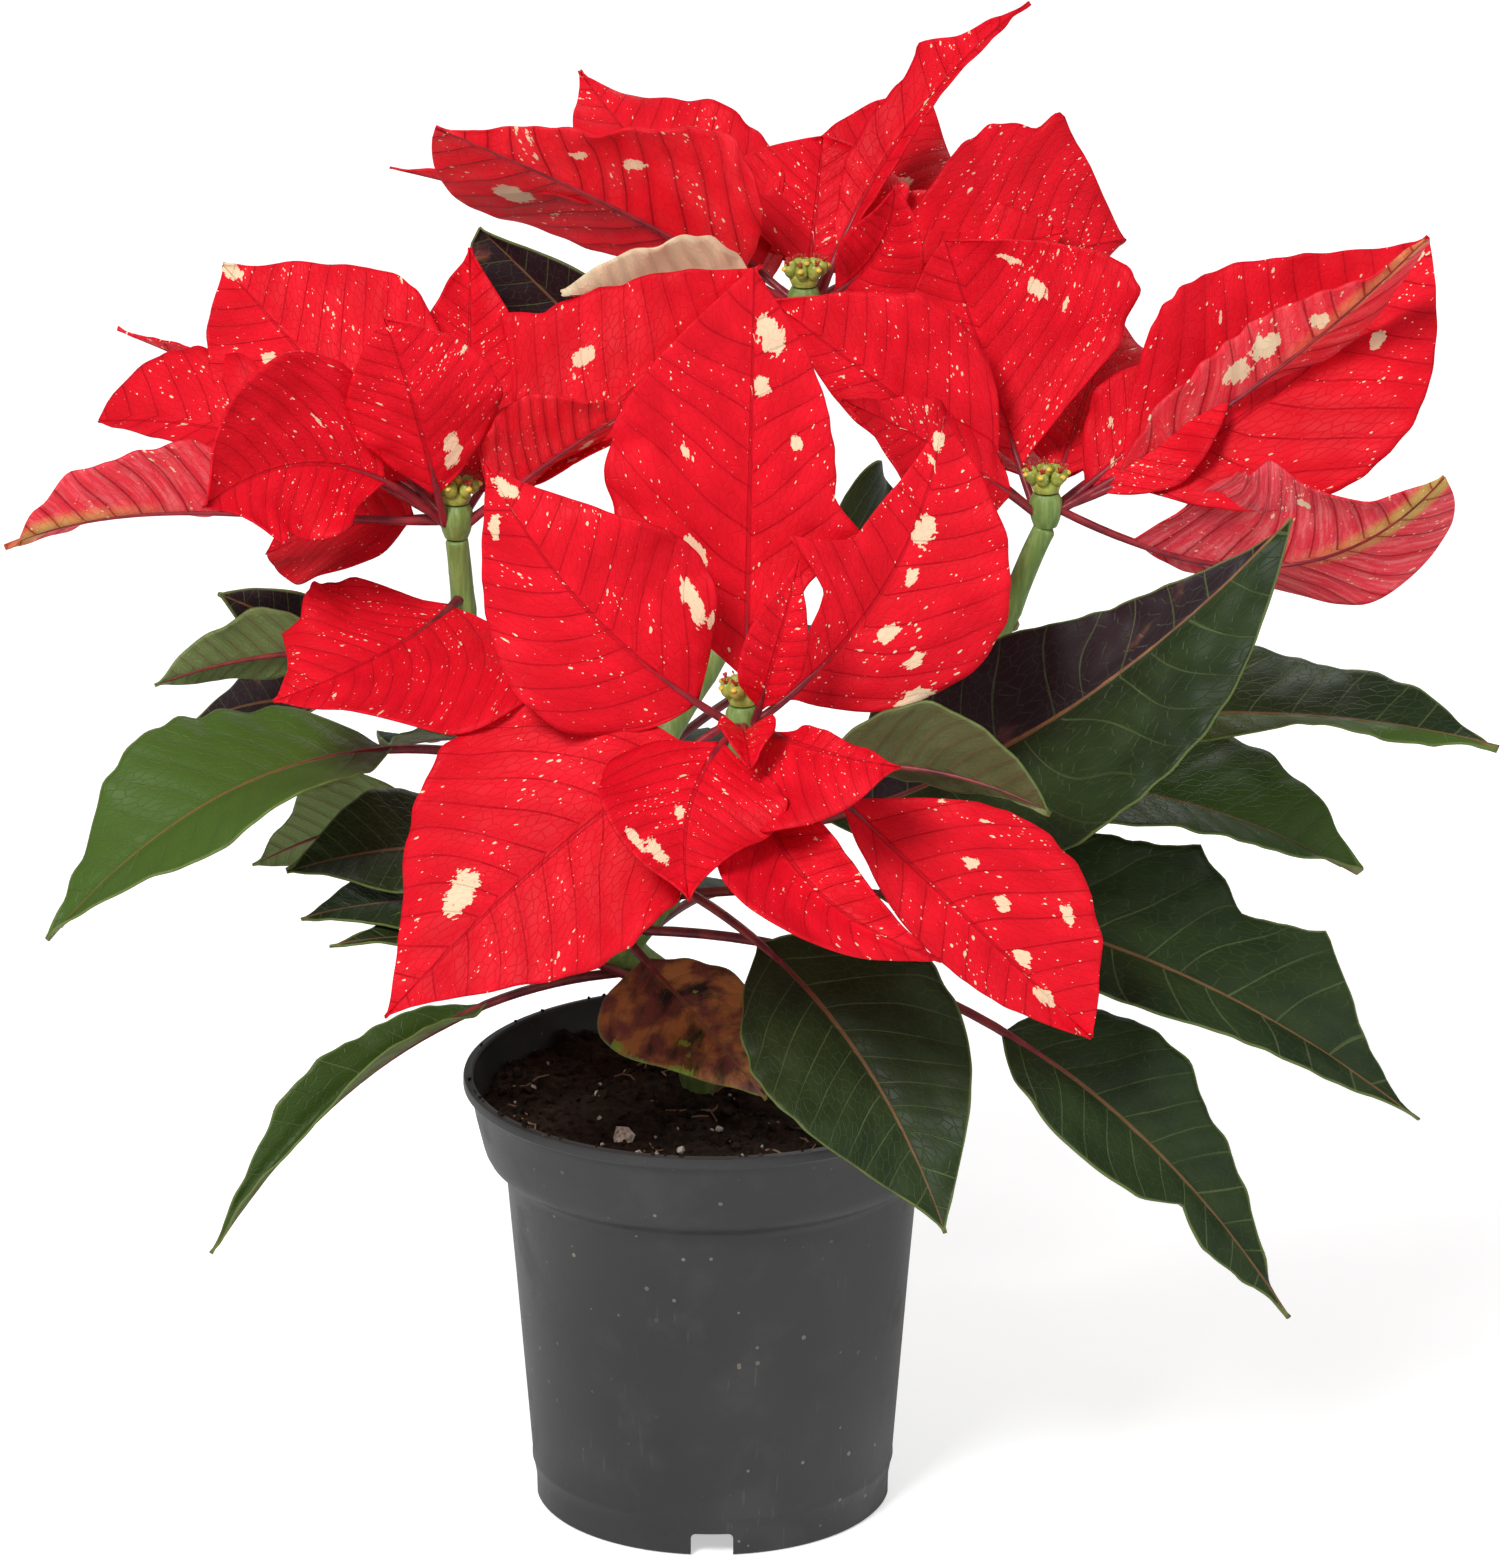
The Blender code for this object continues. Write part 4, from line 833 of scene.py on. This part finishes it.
def fleck_group():
    """Cream flecks of a bract: dots, flecks and streaks that follow the side veins, and patches."""
    tree = bpy.data.node_groups.new("cream flecks", "ShaderNodeTree")
    tree.interface.new_socket("Lay", in_out="INPUT", socket_type="NodeSocketVector")
    tree.interface.new_socket("Patch", in_out="INPUT", socket_type="NodeSocketFloat")
    tree.interface.new_socket("Flecks", in_out="OUTPUT", socket_type="NodeSocketFloat")
    start = tree.nodes.new("NodeGroupInput")
    end = tree.nodes.new("NodeGroupOutput")
    parts = put(tree, "SeparateXYZ", {0: start.outputs["Lay"]}).outputs
    masks = []
    fine = put(tree, "CombineXYZ", {0: maths(tree, "MULTIPLY", parts[0], 160.0), 1: parts[1],
                                    2: parts[2]}).outputs[0]
    ragged = maths(tree, "SUBTRACT", noise_of(tree, fine, 7.0, 3.0, 0.6), 0.5)
    crowd = maths(tree, "MULTIPLY", maths(tree, "SUBTRACT", noise_of(tree, fine, 0.5, 2.0), 0.55), 0.55)
    layers = ((160.0, 8.5, 0.83, 0.34), (150.0, 4.6, 0.88, 0.31), (95.0, 2.6, 0.87, 0.23),
              (50.0, 1.7, 0.90, 0.17), (120.0, 1.0, 0.90, 0.17))
    for stretch, scale, least, size in layers:
        spot = put(tree, "CombineXYZ", {0: maths(tree, "MULTIPLY", parts[0], stretch), 1: parts[1],
                                        2: maths(tree, "ADD", parts[2], scale)}).outputs[0]
        cells = put(tree, "TexVoronoi", {"Vector": spot, "Scale": scale})
        chance = put(tree, "SeparateColor", {0: cells.outputs["Color"]}).outputs[0]
        reach = put(tree, "MapRange", {"Value": maths(tree, "ADD", chance, crowd), "From Min": least,
                                       "From Max": 1.0, "To Min": 0.0, "To Max": size}).outputs[0]
        edge = maths(tree, "MULTIPLY_ADD", maths(tree, "MULTIPLY", ragged, 2.3), reach, reach)
        masks.append(ramp(tree, maths(tree, "SUBTRACT", edge, cells.outputs["Distance"]), 0.0, 0.03))
    torn = maths(tree, "MULTIPLY_ADD", ragged, 0.7, start.outputs["Patch"])
    torn = maths(tree, "MULTIPLY_ADD", maths(tree, "SUBTRACT", noise_of(tree, fine, 2.6, 1.0), 0.5), 0.7,
                 torn)
    masks.append(maths(tree, "MULTIPLY", ramp(tree, torn, 0.42, 0.45),
                       ramp(tree, start.outputs["Patch"], 0.05, 0.25)))
    total = masks[0]
    for mask in masks[1:]:
        total = maths(tree, "MAXIMUM", total, mask)
    tree.links.new(total, end.inputs["Flecks"])
    return tree


def attribute(tree, name, output="Vector"):
    return put(tree, "Attribute", {}, attribute_name=name).outputs[output]


def bract_material(name, veins, flecks, tones, young, vein_colour, rib_colour, strength, relief,
                   **values):
    """A bract's skin: red in two tones, pink where it is young, with darker veins and cream flecks.

    strength: width of the veins, then how strong veins, net, painted shade beside the veins and
    midrib colour it, and how much the swell lifts it.
    """
    material, tree, shader = new_material(name, 0.5, **values)
    lay = attribute(tree, "lay")
    marks = put(tree, "SeparateXYZ", {0: attribute(tree, "marks")}).outputs
    along = attribute(tree, "from_base", "Fac")
    lines = put(tree, "Group", {0: lay, 1: along, 2: strength[0]}, node_tree=veins).outputs
    fleck = put(tree, "Group", {0: lay, 1: marks[0]}, node_tree=flecks).outputs[0]
    base = mixed(tree, ramp(tree, lines["Tone"], 0.3, 0.7), tones[0], tones[1])
    pale = mixed(tree, maths(tree, "MULTIPLY", lines["Streaks"], 0.7), young[0], young[1])
    base = mixed(tree, marks[2], base, pale)
    gilt = maths(tree, "MULTIPLY", ramp(tree, maths(tree, "ABSOLUTE", put(
        tree, "SeparateXYZ", {0: lay}).outputs[0]), 0.004, 0.0012), ramp(tree, along, 0.35, 0.9))
    base = mixed(tree, maths(tree, "MULTIPLY", gilt, marks[2]), base, young[2])
    shade = maths(tree, "MULTIPLY_ADD", lines["Veins"], strength[1],
                  maths(tree, "MULTIPLY", lines["Net"], strength[2]))
    # Painted shade: the band beside each vein is darkened towards the vein colour.
    shade = maths(tree, "MULTIPLY_ADD", lines["Swell and shade"], strength[3], shade)
    base = mixed(tree, shade, base, vein_colour)
    base = mixed(tree, maths(tree, "MULTIPLY", lines["Rib"], strength[4]), base, rib_colour)
    cream = mixed(tree, lines["Tone"], (0.88, 0.60, 0.40, 1), (0.95, 0.78, 0.52, 1))
    base = mixed(tree, maths(tree, "MULTIPLY", fleck, 0.96), base, cream)
    tree.links.new(base, shader.inputs["Base Color"])
    height = maths(tree, "MULTIPLY_ADD", lines["Net"], 0.25, maths(
        tree, "MULTIPLY_ADD", lines["Swell and shade"], strength[5], lines["Veins"]))
    height = maths(tree, "ADD", height, lines["Rib"])
    bump = put(tree, "Bump", {"Strength": 0.6, "Distance": relief, "Height": height})
    tree.links.new(bump.outputs[0], shader.inputs["Normal"])
    rough = maths(tree, "MULTIPLY_ADD", lines["Tone"], 0.2, 0.42)
    tree.links.new(rough, shader.inputs["Roughness"])
    return material


veins = vein_group()
flecks = fleck_group()
bract_upper = bract_material("bract upper side", veins, flecks,
                             ((0.66, 0.004, 0.014, 1), (0.84, 0.007, 0.022, 1)),
                             ((0.74, 0.02, 0.04, 1), (0.80, 0.06, 0.08, 1), (0.60, 0.20, 0.08, 1)),
                             (0.40, 0.001, 0.008, 1), (0.40, 0.003, 0.010, 1),
                             (0.028, 0.30, 0.09, 0.10, 0.5, 0.3), -0.0005, Specular_IOR_Level=0.11)
bract_under = bract_material("bract underside", veins, flecks,
                             ((0.90, 0.010, 0.024, 1), (1.0, 0.030, 0.046, 1)),
                             ((0.90, 0.055, 0.085, 1), (0.95, 0.26, 0.26, 1), (0.58, 0.44, 0.12, 1)),
                             (0.30, 0.002, 0.010, 1), (0.22, 0.006, 0.012, 1),
                             (0.05, 0.60, 0.16, 0.20, 0.85, 0.8), 0.0008,
                             Subsurface_Weight=0.4, Subsurface_Scale=0.004,
                             Subsurface_Radius=(1.0, 0.12, 0.1), Specular_IOR_Level=0.11)


def stalk_material(name, tones):
    material, tree, shader = new_material(name, 0.42, Specular_IOR_Level=0.4)
    tone = ramp(tree, noise_of(tree, place(tree), 160.0, 3.0), 0.35, 0.65)
    tree.links.new(mixed(tree, tone, tones[0], tones[1]), shader.inputs["Base Color"])
    bump = put(tree, "Bump", {"Strength": 0.3, "Distance": 0.0003,
                              "Height": noise_of(tree, place(tree), 900.0, 2.0)})
    tree.links.new(bump.outputs[0], shader.inputs["Normal"])
    return material


red_stalk = stalk_material("dark red stalk", ((0.20, 0.012, 0.022, 1), (0.34, 0.022, 0.032, 1)))
for number, (name, bracts) in enumerate(BLOOMS.items()):
    base = BRANCHES[name][-1] + Vector((0, 0, GAP))
    blades = []
    for count, blade in enumerate(bracts.values()):
        tip = Vector(blade.tip) + Vector((0, 0, HEART_RISE))
        outward = Vector((tip.x, tip.y, 0)).normalized()
        start = Vector((0, 0, CORE_HEIGHT * 0.5)) + outward * CORE_RADIUS * 0.85
        blades.append((blade, base + start, tip - start, number * 20 + count))
    bloom = blades_piece(f"bracts_{name}", blades, bract_upper, bract_under)
    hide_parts(f"bloom_{name}")
    rods = [rib_rod(blade, start, reach, BRACT_STALK_RADIUS) for blade, start, reach, _ in blades]
    for rod in rods:
        inner = base + Vector((0, 0, CORE_HEIGHT * 0.3))
        rod.insert(0, (inner + (rod[0][0] - inner) * 0.3, 1.3))
    stalks = round_rods(f"stalks_{name}", rods, red_stalk, 3)
    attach(stalks, "root")
    bm = turned(CORE_PROFILE, 24, False)
    bmesh.ops.translate(bm, verts=bm.verts, vec=base * MM)
    core = link_mesh(f"core_{name}", bm, [green_stem], 60)
    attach(core, "root")


# Flowers: in the heart of each bloom stand a few small green cups, each a knob with a yellow gland
# and a tuft of red and yellow stamens. They grow together on a short green disc.
BUD_RING = 3.4
CUPS = 8
STAMENS_IN_A_CUP = 5
DISC_PROFILE = ((0, 0), (3.2, 0), (3.9, 1.6), (3.2, 3.2), (0, 4.0))
CUP_PROFILE = ((0, 0), (1.1, 0.2), (1.75, 1.3), (1.85, 2.6), (1.5, 3.7), (1.05, 4.1), (0.7, 3.9),
               (0, 3.6))


def bud_material(name, low, high, edge):
    material, tree, shader = new_material(name, 0.42, Subsurface_Weight=0.1, Subsurface_Scale=0.001)
    spot = place(tree)
    tone = ramp(tree, noise_of(tree, spot, 450.0, 3.0), 0.35, 0.65)
    base = mixed(tree, tone, low, high)
    base = mixed(tree, ramp(tree, noise_of(tree, spot, 900.0, 2.0), 0.58, 0.7, 0.0, 0.5), base, edge)
    tree.links.new(base, shader.inputs["Base Color"])
    return material


bud_green = bud_material("bud green", (0.26, 0.34, 0.05, 1), (0.46, 0.50, 0.09, 1),
                         (0.62, 0.58, 0.16, 1))
gland_yellow = bud_material("gland yellow", (0.72, 0.52, 0.05, 1), (0.86, 0.66, 0.10, 1),
                            (0.6, 0.3, 0.04, 1))
stamen_red = bud_material("stamen red", (0.42, 0.02, 0.02, 1), (0.60, 0.05, 0.03, 1),
                          (0.8, 0.4, 0.1, 1))
draw = random.Random(3)
for name in BLOOMS:
    base = BRANCHES[name][-1] + Vector((0, 0, 2 * GAP + CORE_HEIGHT))
    bm = turned(DISC_PROFILE, 20, False)
    bmesh.ops.translate(bm, verts=bm.verts, vec=base * MM)
    glands = bmesh.new()
    stamens = []
    for i in range(CUPS):
        angle = 2 * math.pi * i / (CUPS - 1) + draw.uniform(-0.15, 0.15)
        ring = 0.0 if i == CUPS - 1 else BUD_RING * draw.uniform(0.92, 1.1)
        lean = Vector((math.cos(angle), math.sin(angle), 0)) * (ring > 0)
        foot = base + lean * ring + Vector((0, 0, 2.4 + 0.8 * (ring == 0)))
        axis = (Vector((0, 0, 1)) + lean * 0.32).normalized()
        cup = turned(CUP_PROFILE, 16, False)
        turn = Vector((0, 0, 1)).rotation_difference(axis).to_matrix().to_4x4()
        size = draw.uniform(0.85, 1.05)
        cup.transform(Matrix.Translation(foot * MM) @ turn @ Matrix.Scale(size, 4))
        mesh = bpy.data.meshes.new("cup")
        cup.to_mesh(mesh)
        cup.free()
        bm.from_mesh(mesh)
        bpy.data.meshes.remove(mesh)
        out = (lean if ring else Vector((0.4, -0.9, 0))).normalized()
        spot = foot + axis * 2.9 * size + out * 1.55 * size
        flat = Matrix.Diagonal((1, 1, 0.75, 1))
        bmesh.ops.create_uvsphere(glands, u_segments=12, v_segments=8, radius=0.85 * MM,
                                  matrix=Matrix.Translation(spot * MM) @ turn @ flat)
        for _ in range(STAMENS_IN_A_CUP):
            tilt = Vector((draw.uniform(-1, 1), draw.uniform(-1, 1), 0)) * 0.45
            top = foot + axis * 4.4 * size + tilt * 1.6
            stamens.append([(foot + axis * 3.4 * size + tilt * 0.5, 0.16), (top, 0.14),
                            (top + (axis + tilt).normalized() * 0.5, 0.30),
                            (top + (axis + tilt).normalized() * 0.9, 0.16)])
    buds = link_mesh(f"flower_cups_{name}", bm, [bud_green], 60)
    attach(buds, "root")
    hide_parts(f"buds_{name}")
    glands_piece = link_mesh(f"glands_{name}", glands, [gland_yellow], 180)
    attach(glands_piece, "root")
    stamens_piece = round_rods(f"stamens_{name}", stamens, stamen_red, 1)
    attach(stamens_piece, "root")


# Leaves: thin dark green blades on long dark red stalks that stand off the stem, with pale veins, a
# lighter edge and a grey-green underside with reddish veins. Young ones are purple. They droop by
# their own weight.
LEAF_STALK_RADIUS = 1.35
LEAVES = {
    "bract_left_low": ("left", 0.88, Blade((-110, -48, 234), (44, 28), (-0.2, -0.6, 0.75),
                                           stalk=0.05, belly=(0.4, 0.42), arch=0.05, bow=-0.1,
                                           lobes=((1, 0.78, 0.3),))),
    "leaf_left_long": ("left", 0.52, Blade((-168, -50, 171), (24, 28), (-0.2, -0.35, 0.9),
                                           stalk=0.22, arch=0.18, fold=(14, 14),
                                           tint=(-0.8, -0.8))),
    "leaf_left_jagged": ("left", 0.38, Blade((-120, 15, 169), (16, 16), (0.1, 0.8, 0.6),
                                             stalk=0.35, arch=0.1,
                                             lobes=((1, 0.5, 0.5), (-1, 0.6, 0.4)),
                                             tint=(-0.9, -0.9))),
    "leaf_left_dark": ("left", 0.27, Blade((-109, -20, 179), (16, 18), (0, -0.5, 0.85), stalk=0.25,
                                           arch=0.1)),
    "leaf_left_lower": ("left", 0.08, Blade((-105, -30, 170), (15, 15), (0, -0.3, 0.95),
                                            stalk=0.3, arch=0.1)),
    "leaf_left_small": ("trunk", 0.72, Blade((-97, -42, 167), (10, 10), (0, -0.3, 0.95),
                                             stalk=0.3, arch=0.08)),
    "leaf_left_hanging": ("trunk", 0.86, Blade((-128, -58, 89), (15, 10), (-0.5, -0.5, 0.7),
                                               stalk=0.3, arch=0.16, fold=(45, 45),
                                               tint=(-0.5, -0.5))),
    "leaf_left_pale": ("left", 0.72, Blade((-142, -18, 229), (14, 9), (0, 0.9, 0.4), stalk=0.4,
                                           arch=0.06, bow=-0.05, tint=(-0.7, -0.7))),
    "leaf_left_purple": ("left", 0.56, Blade((-135, 16, 207), (10, 10), (0, -0.6, 0.8),
                                             stalk=0.5, arch=0.2, tint=(1, 1))),
    "leaf_left_glossy": ("left", 0.62, Blade((-126, -7, 250), (9, 9), (-0.4, -0.8, 0.3), stalk=0.5,
                                             arch=-0.05, tint=(1, 1))),
    "leaf_right_big": ("right", 0.36, Blade((146, -30, 277), (27, 34), (-0.3, -0.85, 0.45),
                                            stalk=0.15, belly=(0.32, 0.5), arch=0.05, bow=0.1,
                                            tint=(1, 0))),
    "leaf_right_wavy": ("right", 0.5, Blade((205, 20, 200), (25, 11), (0.1, -0.4, 0.9), stalk=0.3,
                                            arch=0.1, wave=0.1, tint=(0, -0.7))),
    "leaf_right_middle": ("right", 0.42, Blade((168, 10, 168), (30, 17), (0.3, -0.4, 0.85),
                                               stalk=0.3, belly=(0.52, 0.42), arch=0.14,
                                               tint=(-0.6, -0.45))),
    "leaf_right_notched": ("right", 0.2, Blade((182, -30, 115), (30, 17), (0.3, -0.6, 0.75),
                                               stalk=0.25, arch=0.17,
                                               lobes=((-1, 0.5, 0.25), (-1, 0.74, 0.35)))),
    "leaf_right_low": ("front", 0.15, Blade((148, -62, 73), (24, 19), (0.4, -0.6, 0.7), stalk=0.5,
                                            belly=(0.3, 0.36), arch=0.21,
                                            lobes=((1, 0.62, -0.4),))),
    "leaf_front_pale": ("front", 0.75, Blade((85, -78, 215), (8, 21), (0.1, 0.8, 0.5), stalk=0.25,
                                             belly=(0.42, 0.54), arch=0.06, bow=0.1)),
    "leaf_front_hanging": ("front", 0.35, Blade((59, -92, 108), (28, 27), (0.2, -0.85, 0.4),
                                                stalk=0.25, arch=0.08, bow=-0.07)),
    "leaf_front_purple": ("front", 0.1, Blade((14, -50, 128), (15, 23), (0.1, -0.85, 0.4),
                                              stalk=0.1, belly=(0.5, 0.32), arch=0.05,
                                              tint=(0.55, 0.55),
                                              patches=((0.36, 0.95, 2.4), (0.5, 1.05, 2.6),
                                                       (0.66, 0.95, 2.2), (0.55, 0.4, 1.6),
                                                       (0.62, 0.55, 1.0), (0.35, -0.3, 1.0)))),
    "leaf_back_dark": ("back", 0.74, Blade((-60, 48, 332), (14, 14), (-0.3, -0.9, 0.3), stalk=0.3,
                                           belly=(0.72, 0.42), tint=(1, 0.9))),
    "leaf_rear_left": ("back", 0.3, Blade((-90, 90, 175), (26, 26), (-0.3, 0.4, 0.85),
                                          stalk=0.28, arch=0.1)),
    "leaf_rear_middle": ("back", 0.2, Blade((-20, 140, 160), (27, 27), (0, 0.5, 0.85),
                                            stalk=0.28, arch=0.1)),
    "leaf_rear_right": ("back", 0.4, Blade((70, 125, 190), (27, 27), (0.3, 0.4, 0.85),
                                           stalk=0.28, arch=0.1)),
    "leaf_rear_high": ("back", 0.7, Blade((51, 92, 226), (24, 24), (0.2, -0.8, 0.5), stalk=0.28,
                                          arch=0.14)),
    "leaf_rear_side": ("left", 0.4, Blade((-104, 78, 196), (20, 20), (-0.2, 0.4, 0.85),
                                          stalk=0.3, arch=0.1)),
    "leaf_rear_low": ("trunk", 0.85, Blade((30, 115, 118), (23, 23), (0.2, 0.6, 0.75),
                                           stalk=0.3, arch=0.1)),
}


def leaf_material(name, veins, greens, youngs, vein_colours, edges, strength, relief, roughness,
                  **values):
    """A leaf's skin: dark or paler green, bronze to purple where it is young, with its veins.

    strength: width of the veins, then how strong veins, net and midrib colour it, and how much the
    swell lifts it.
    """
    material, tree, shader = new_material(name, roughness, **values)
    edge, fresh = edges
    lay = attribute(tree, "lay")
    marks = put(tree, "SeparateXYZ", {0: attribute(tree, "marks")}).outputs
    along = attribute(tree, "from_base", "Fac")
    lines = put(tree, "Group", {0: lay, 1: along, 2: strength[0]}, node_tree=veins).outputs
    base = mixed(tree, ramp(tree, lines["Tone"], 0.3, 0.7), greens[0], greens[1])
    base = mixed(tree, ramp(tree, marks[2], -0.05, -1.0), base, greens[2])
    cloud = maths(tree, "MULTIPLY", maths(tree, "SUBTRACT", lines["Tone"], 0.5), 1.5)
    young = maths(tree, "MULTIPLY", maths(tree, "ADD", marks[2], cloud),
                  ramp(tree, marks[2], 0.02, 0.1))
    mottle = maths(tree, "MULTIPLY", ramp(tree, noise_of(tree, place(tree), 110.0, 4.0), 0.40, 0.58),
                   0.85)
    bronze = mixed(tree, mottle, youngs[0], youngs[2])
    base = mixed(tree, ramp(tree, young, 0.2, 0.5), base, bronze)
    base = mixed(tree, ramp(tree, young, 0.55, 0.85), base, youngs[1])
    torn = maths(tree, "MULTIPLY_ADD", maths(tree, "SUBTRACT", lines["Streaks"], 0.5), 0.3, marks[0])
    base = mixed(tree, ramp(tree, torn, 0.5, 0.6, 0.0, 0.85), base, fresh)
    shade = maths(tree, "MULTIPLY_ADD", lines["Veins"], strength[1],
                  maths(tree, "MULTIPLY", lines["Net"], strength[2]))
    base = mixed(tree, shade, base, vein_colours[0])
    base = mixed(tree, maths(tree, "MULTIPLY", lines["Rib"], strength[3]), base, vein_colours[1])
    base = mixed(tree, ramp(tree, marks[1], 0.12, 0.02, 0.0, 0.6), base, edge)
    tree.links.new(base, shader.inputs["Base Color"])
    height = maths(tree, "MULTIPLY_ADD", lines["Net"], 0.3, maths(
        tree, "MULTIPLY_ADD", lines["Swell and shade"], strength[4], lines["Veins"]))
    bump = put(tree, "Bump", {"Strength": 0.55, "Distance": relief, "Height": height})
    tree.links.new(bump.outputs[0], shader.inputs["Normal"])
    rough = maths(tree, "MULTIPLY_ADD", lines["Tone"], 0.18, roughness - 0.09)
    tree.links.new(rough, shader.inputs["Roughness"])
    return material


leaf_upper = leaf_material("leaf upper side", veins,
                           ((0.013, 0.025, 0.007, 1), (0.024, 0.043, 0.011, 1),
                            (0.068, 0.130, 0.017, 1)),
                           ((0.46, 0.19, 0.06, 1), (0.024, 0.012, 0.016, 1), (0.15, 0.035, 0.045, 1)),
                           ((0.125, 0.165, 0.060, 1), (0.23, 0.115, 0.05, 1)),
                           ((0.20, 0.26, 0.07, 1), (0.26, 0.38, 0.05, 1)),
                           (0.030, 0.62, 0.12, 0.75, 0.3), -0.0005, 0.44, Specular_IOR_Level=0.17)
leaf_under = leaf_material("leaf underside", veins,
                           ((0.085, 0.094, 0.034, 1), (0.125, 0.135, 0.052, 1), (0.20, 0.27, 0.095, 1)),
                           ((0.24, 0.17, 0.10, 1), (0.12, 0.055, 0.060, 1), (0.20, 0.10, 0.08, 1)),
                           ((0.22, 0.10, 0.055, 1), (0.26, 0.11, 0.07, 1)),
                           ((0.26, 0.30, 0.12, 1), (0.32, 0.40, 0.14, 1)),
                           (0.055, 0.6, 0.20, 0.8, 0.8), 0.0008, 0.6, Specular_IOR_Level=0.15)
leaf_stalk = stalk_material("leaf stalk", ((0.13, 0.014, 0.022, 1), (0.26, 0.035, 0.035, 1)))
for number, (name, (branch, where, blade)) in enumerate(LEAVES.items()):
    middle, along, radius = branch_at(branch, where)
    tip = Vector(blade.tip)
    forward = spine(blade, tip - middle, 0.02).normalized()
    outward = (forward - along * forward.dot(along)).normalized()
    start = middle + outward * radius
    bract = name.startswith("bract")
    skins = (bract_upper, bract_under) if bract else (leaf_upper, leaf_under)
    leaf = blades_piece(name + "_blade", [(blade, start, tip - start, 100 + number)], *skins)
    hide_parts(name)
    rod = rib_rod(blade, start, tip - start, LEAF_STALK_RADIUS)
    rod.insert(0, (middle + outward * radius * 0.55, 1.9))
    stalk = round_rods(name + "_stalk", [rod], leaf_stalk, 3)
    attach(stalk, "root")


# Set: a plain pale floor, a large soft light from the front and above, weaker ones from the side and
# the back, and the camera at the photograph's height and distance. Colours are shown as they are.
bpy.context.scene.view_settings.view_transform = "Standard"
AIM = Vector((0.0099, 0, 0.198))
CAMERA_DISTANCE = 2.2
CAMERA_ELEVATION = math.radians(18.5)
CAMERA_FOCUS = 8520
PHOTO_HEIGHT = 1555
SENSOR = 36
bm = bmesh.new()
bmesh.ops.create_grid(bm, x_segments=1, y_segments=1, size=6.0)
bmesh.ops.translate(bm, verts=bm.verts, vec=(0, 0, -0.0002))
pale, tree, shader = new_material("pale floor", 0.9)
seen = put(tree, "LightPath", {}).outputs["Is Camera Ray"]
lift = put(tree, "MapRange", {"Value": seen, "To Min": 0.0, "To Max": 0.5}).outputs[0]
shader.inputs["Base Color"].default_value = (0.86, 0.86, 0.86, 1)
shader.inputs["Emission Strength"].default_value = 1.0
tree.links.new(lift, shader.inputs["Emission Color"])
floor = link_mesh("floor", bm, [pale])

world = bpy.data.worlds.new("studio")
bpy.context.scene.world = world
world.use_nodes = True
tree = world.node_tree
seen = put(tree, "LightPath", {}).outputs["Is Camera Ray"]
bright = put(tree, "MapRange", {"Value": seen, "To Min": 0.3, "To Max": 1.1}).outputs[0]
tree.links.new(bright, tree.nodes["Background"].inputs["Strength"])
tree.nodes["Background"].inputs["Color"].default_value = (1, 1, 1, 1)


def soft_light(name, spot, size, power):
    light = bpy.data.lights.new(name, "AREA")
    light.size = size
    light.energy = power
    lamp = bpy.data.objects.new(name, light)
    lamp.location = spot
    lamp.rotation_euler = (AIM - Vector(spot)).to_track_quat("-Z", "Y").to_euler()
    bpy.context.scene.collection.objects.link(lamp)


soft_light("front light", (-0.8, -1.45, 1.8), 0.7, 42.0)
soft_light("side light", (1.6, -0.9, 0.9), 1.0, 7.0)
soft_light("back light", (0.5, 1.7, 1.8), 1.0, 14.0)
camera = bpy.data.objects.new("camera", bpy.data.cameras.new("camera"))
away = Vector((0, -math.cos(CAMERA_ELEVATION), math.sin(CAMERA_ELEVATION)))
camera.location = AIM + away * CAMERA_DISTANCE
camera.rotation_euler = (math.radians(90) - CAMERA_ELEVATION, 0, 0)
camera.data.lens = CAMERA_FOCUS / PHOTO_HEIGHT * SENSOR
bpy.context.scene.collection.objects.link(camera)
bpy.context.scene.camera = camera
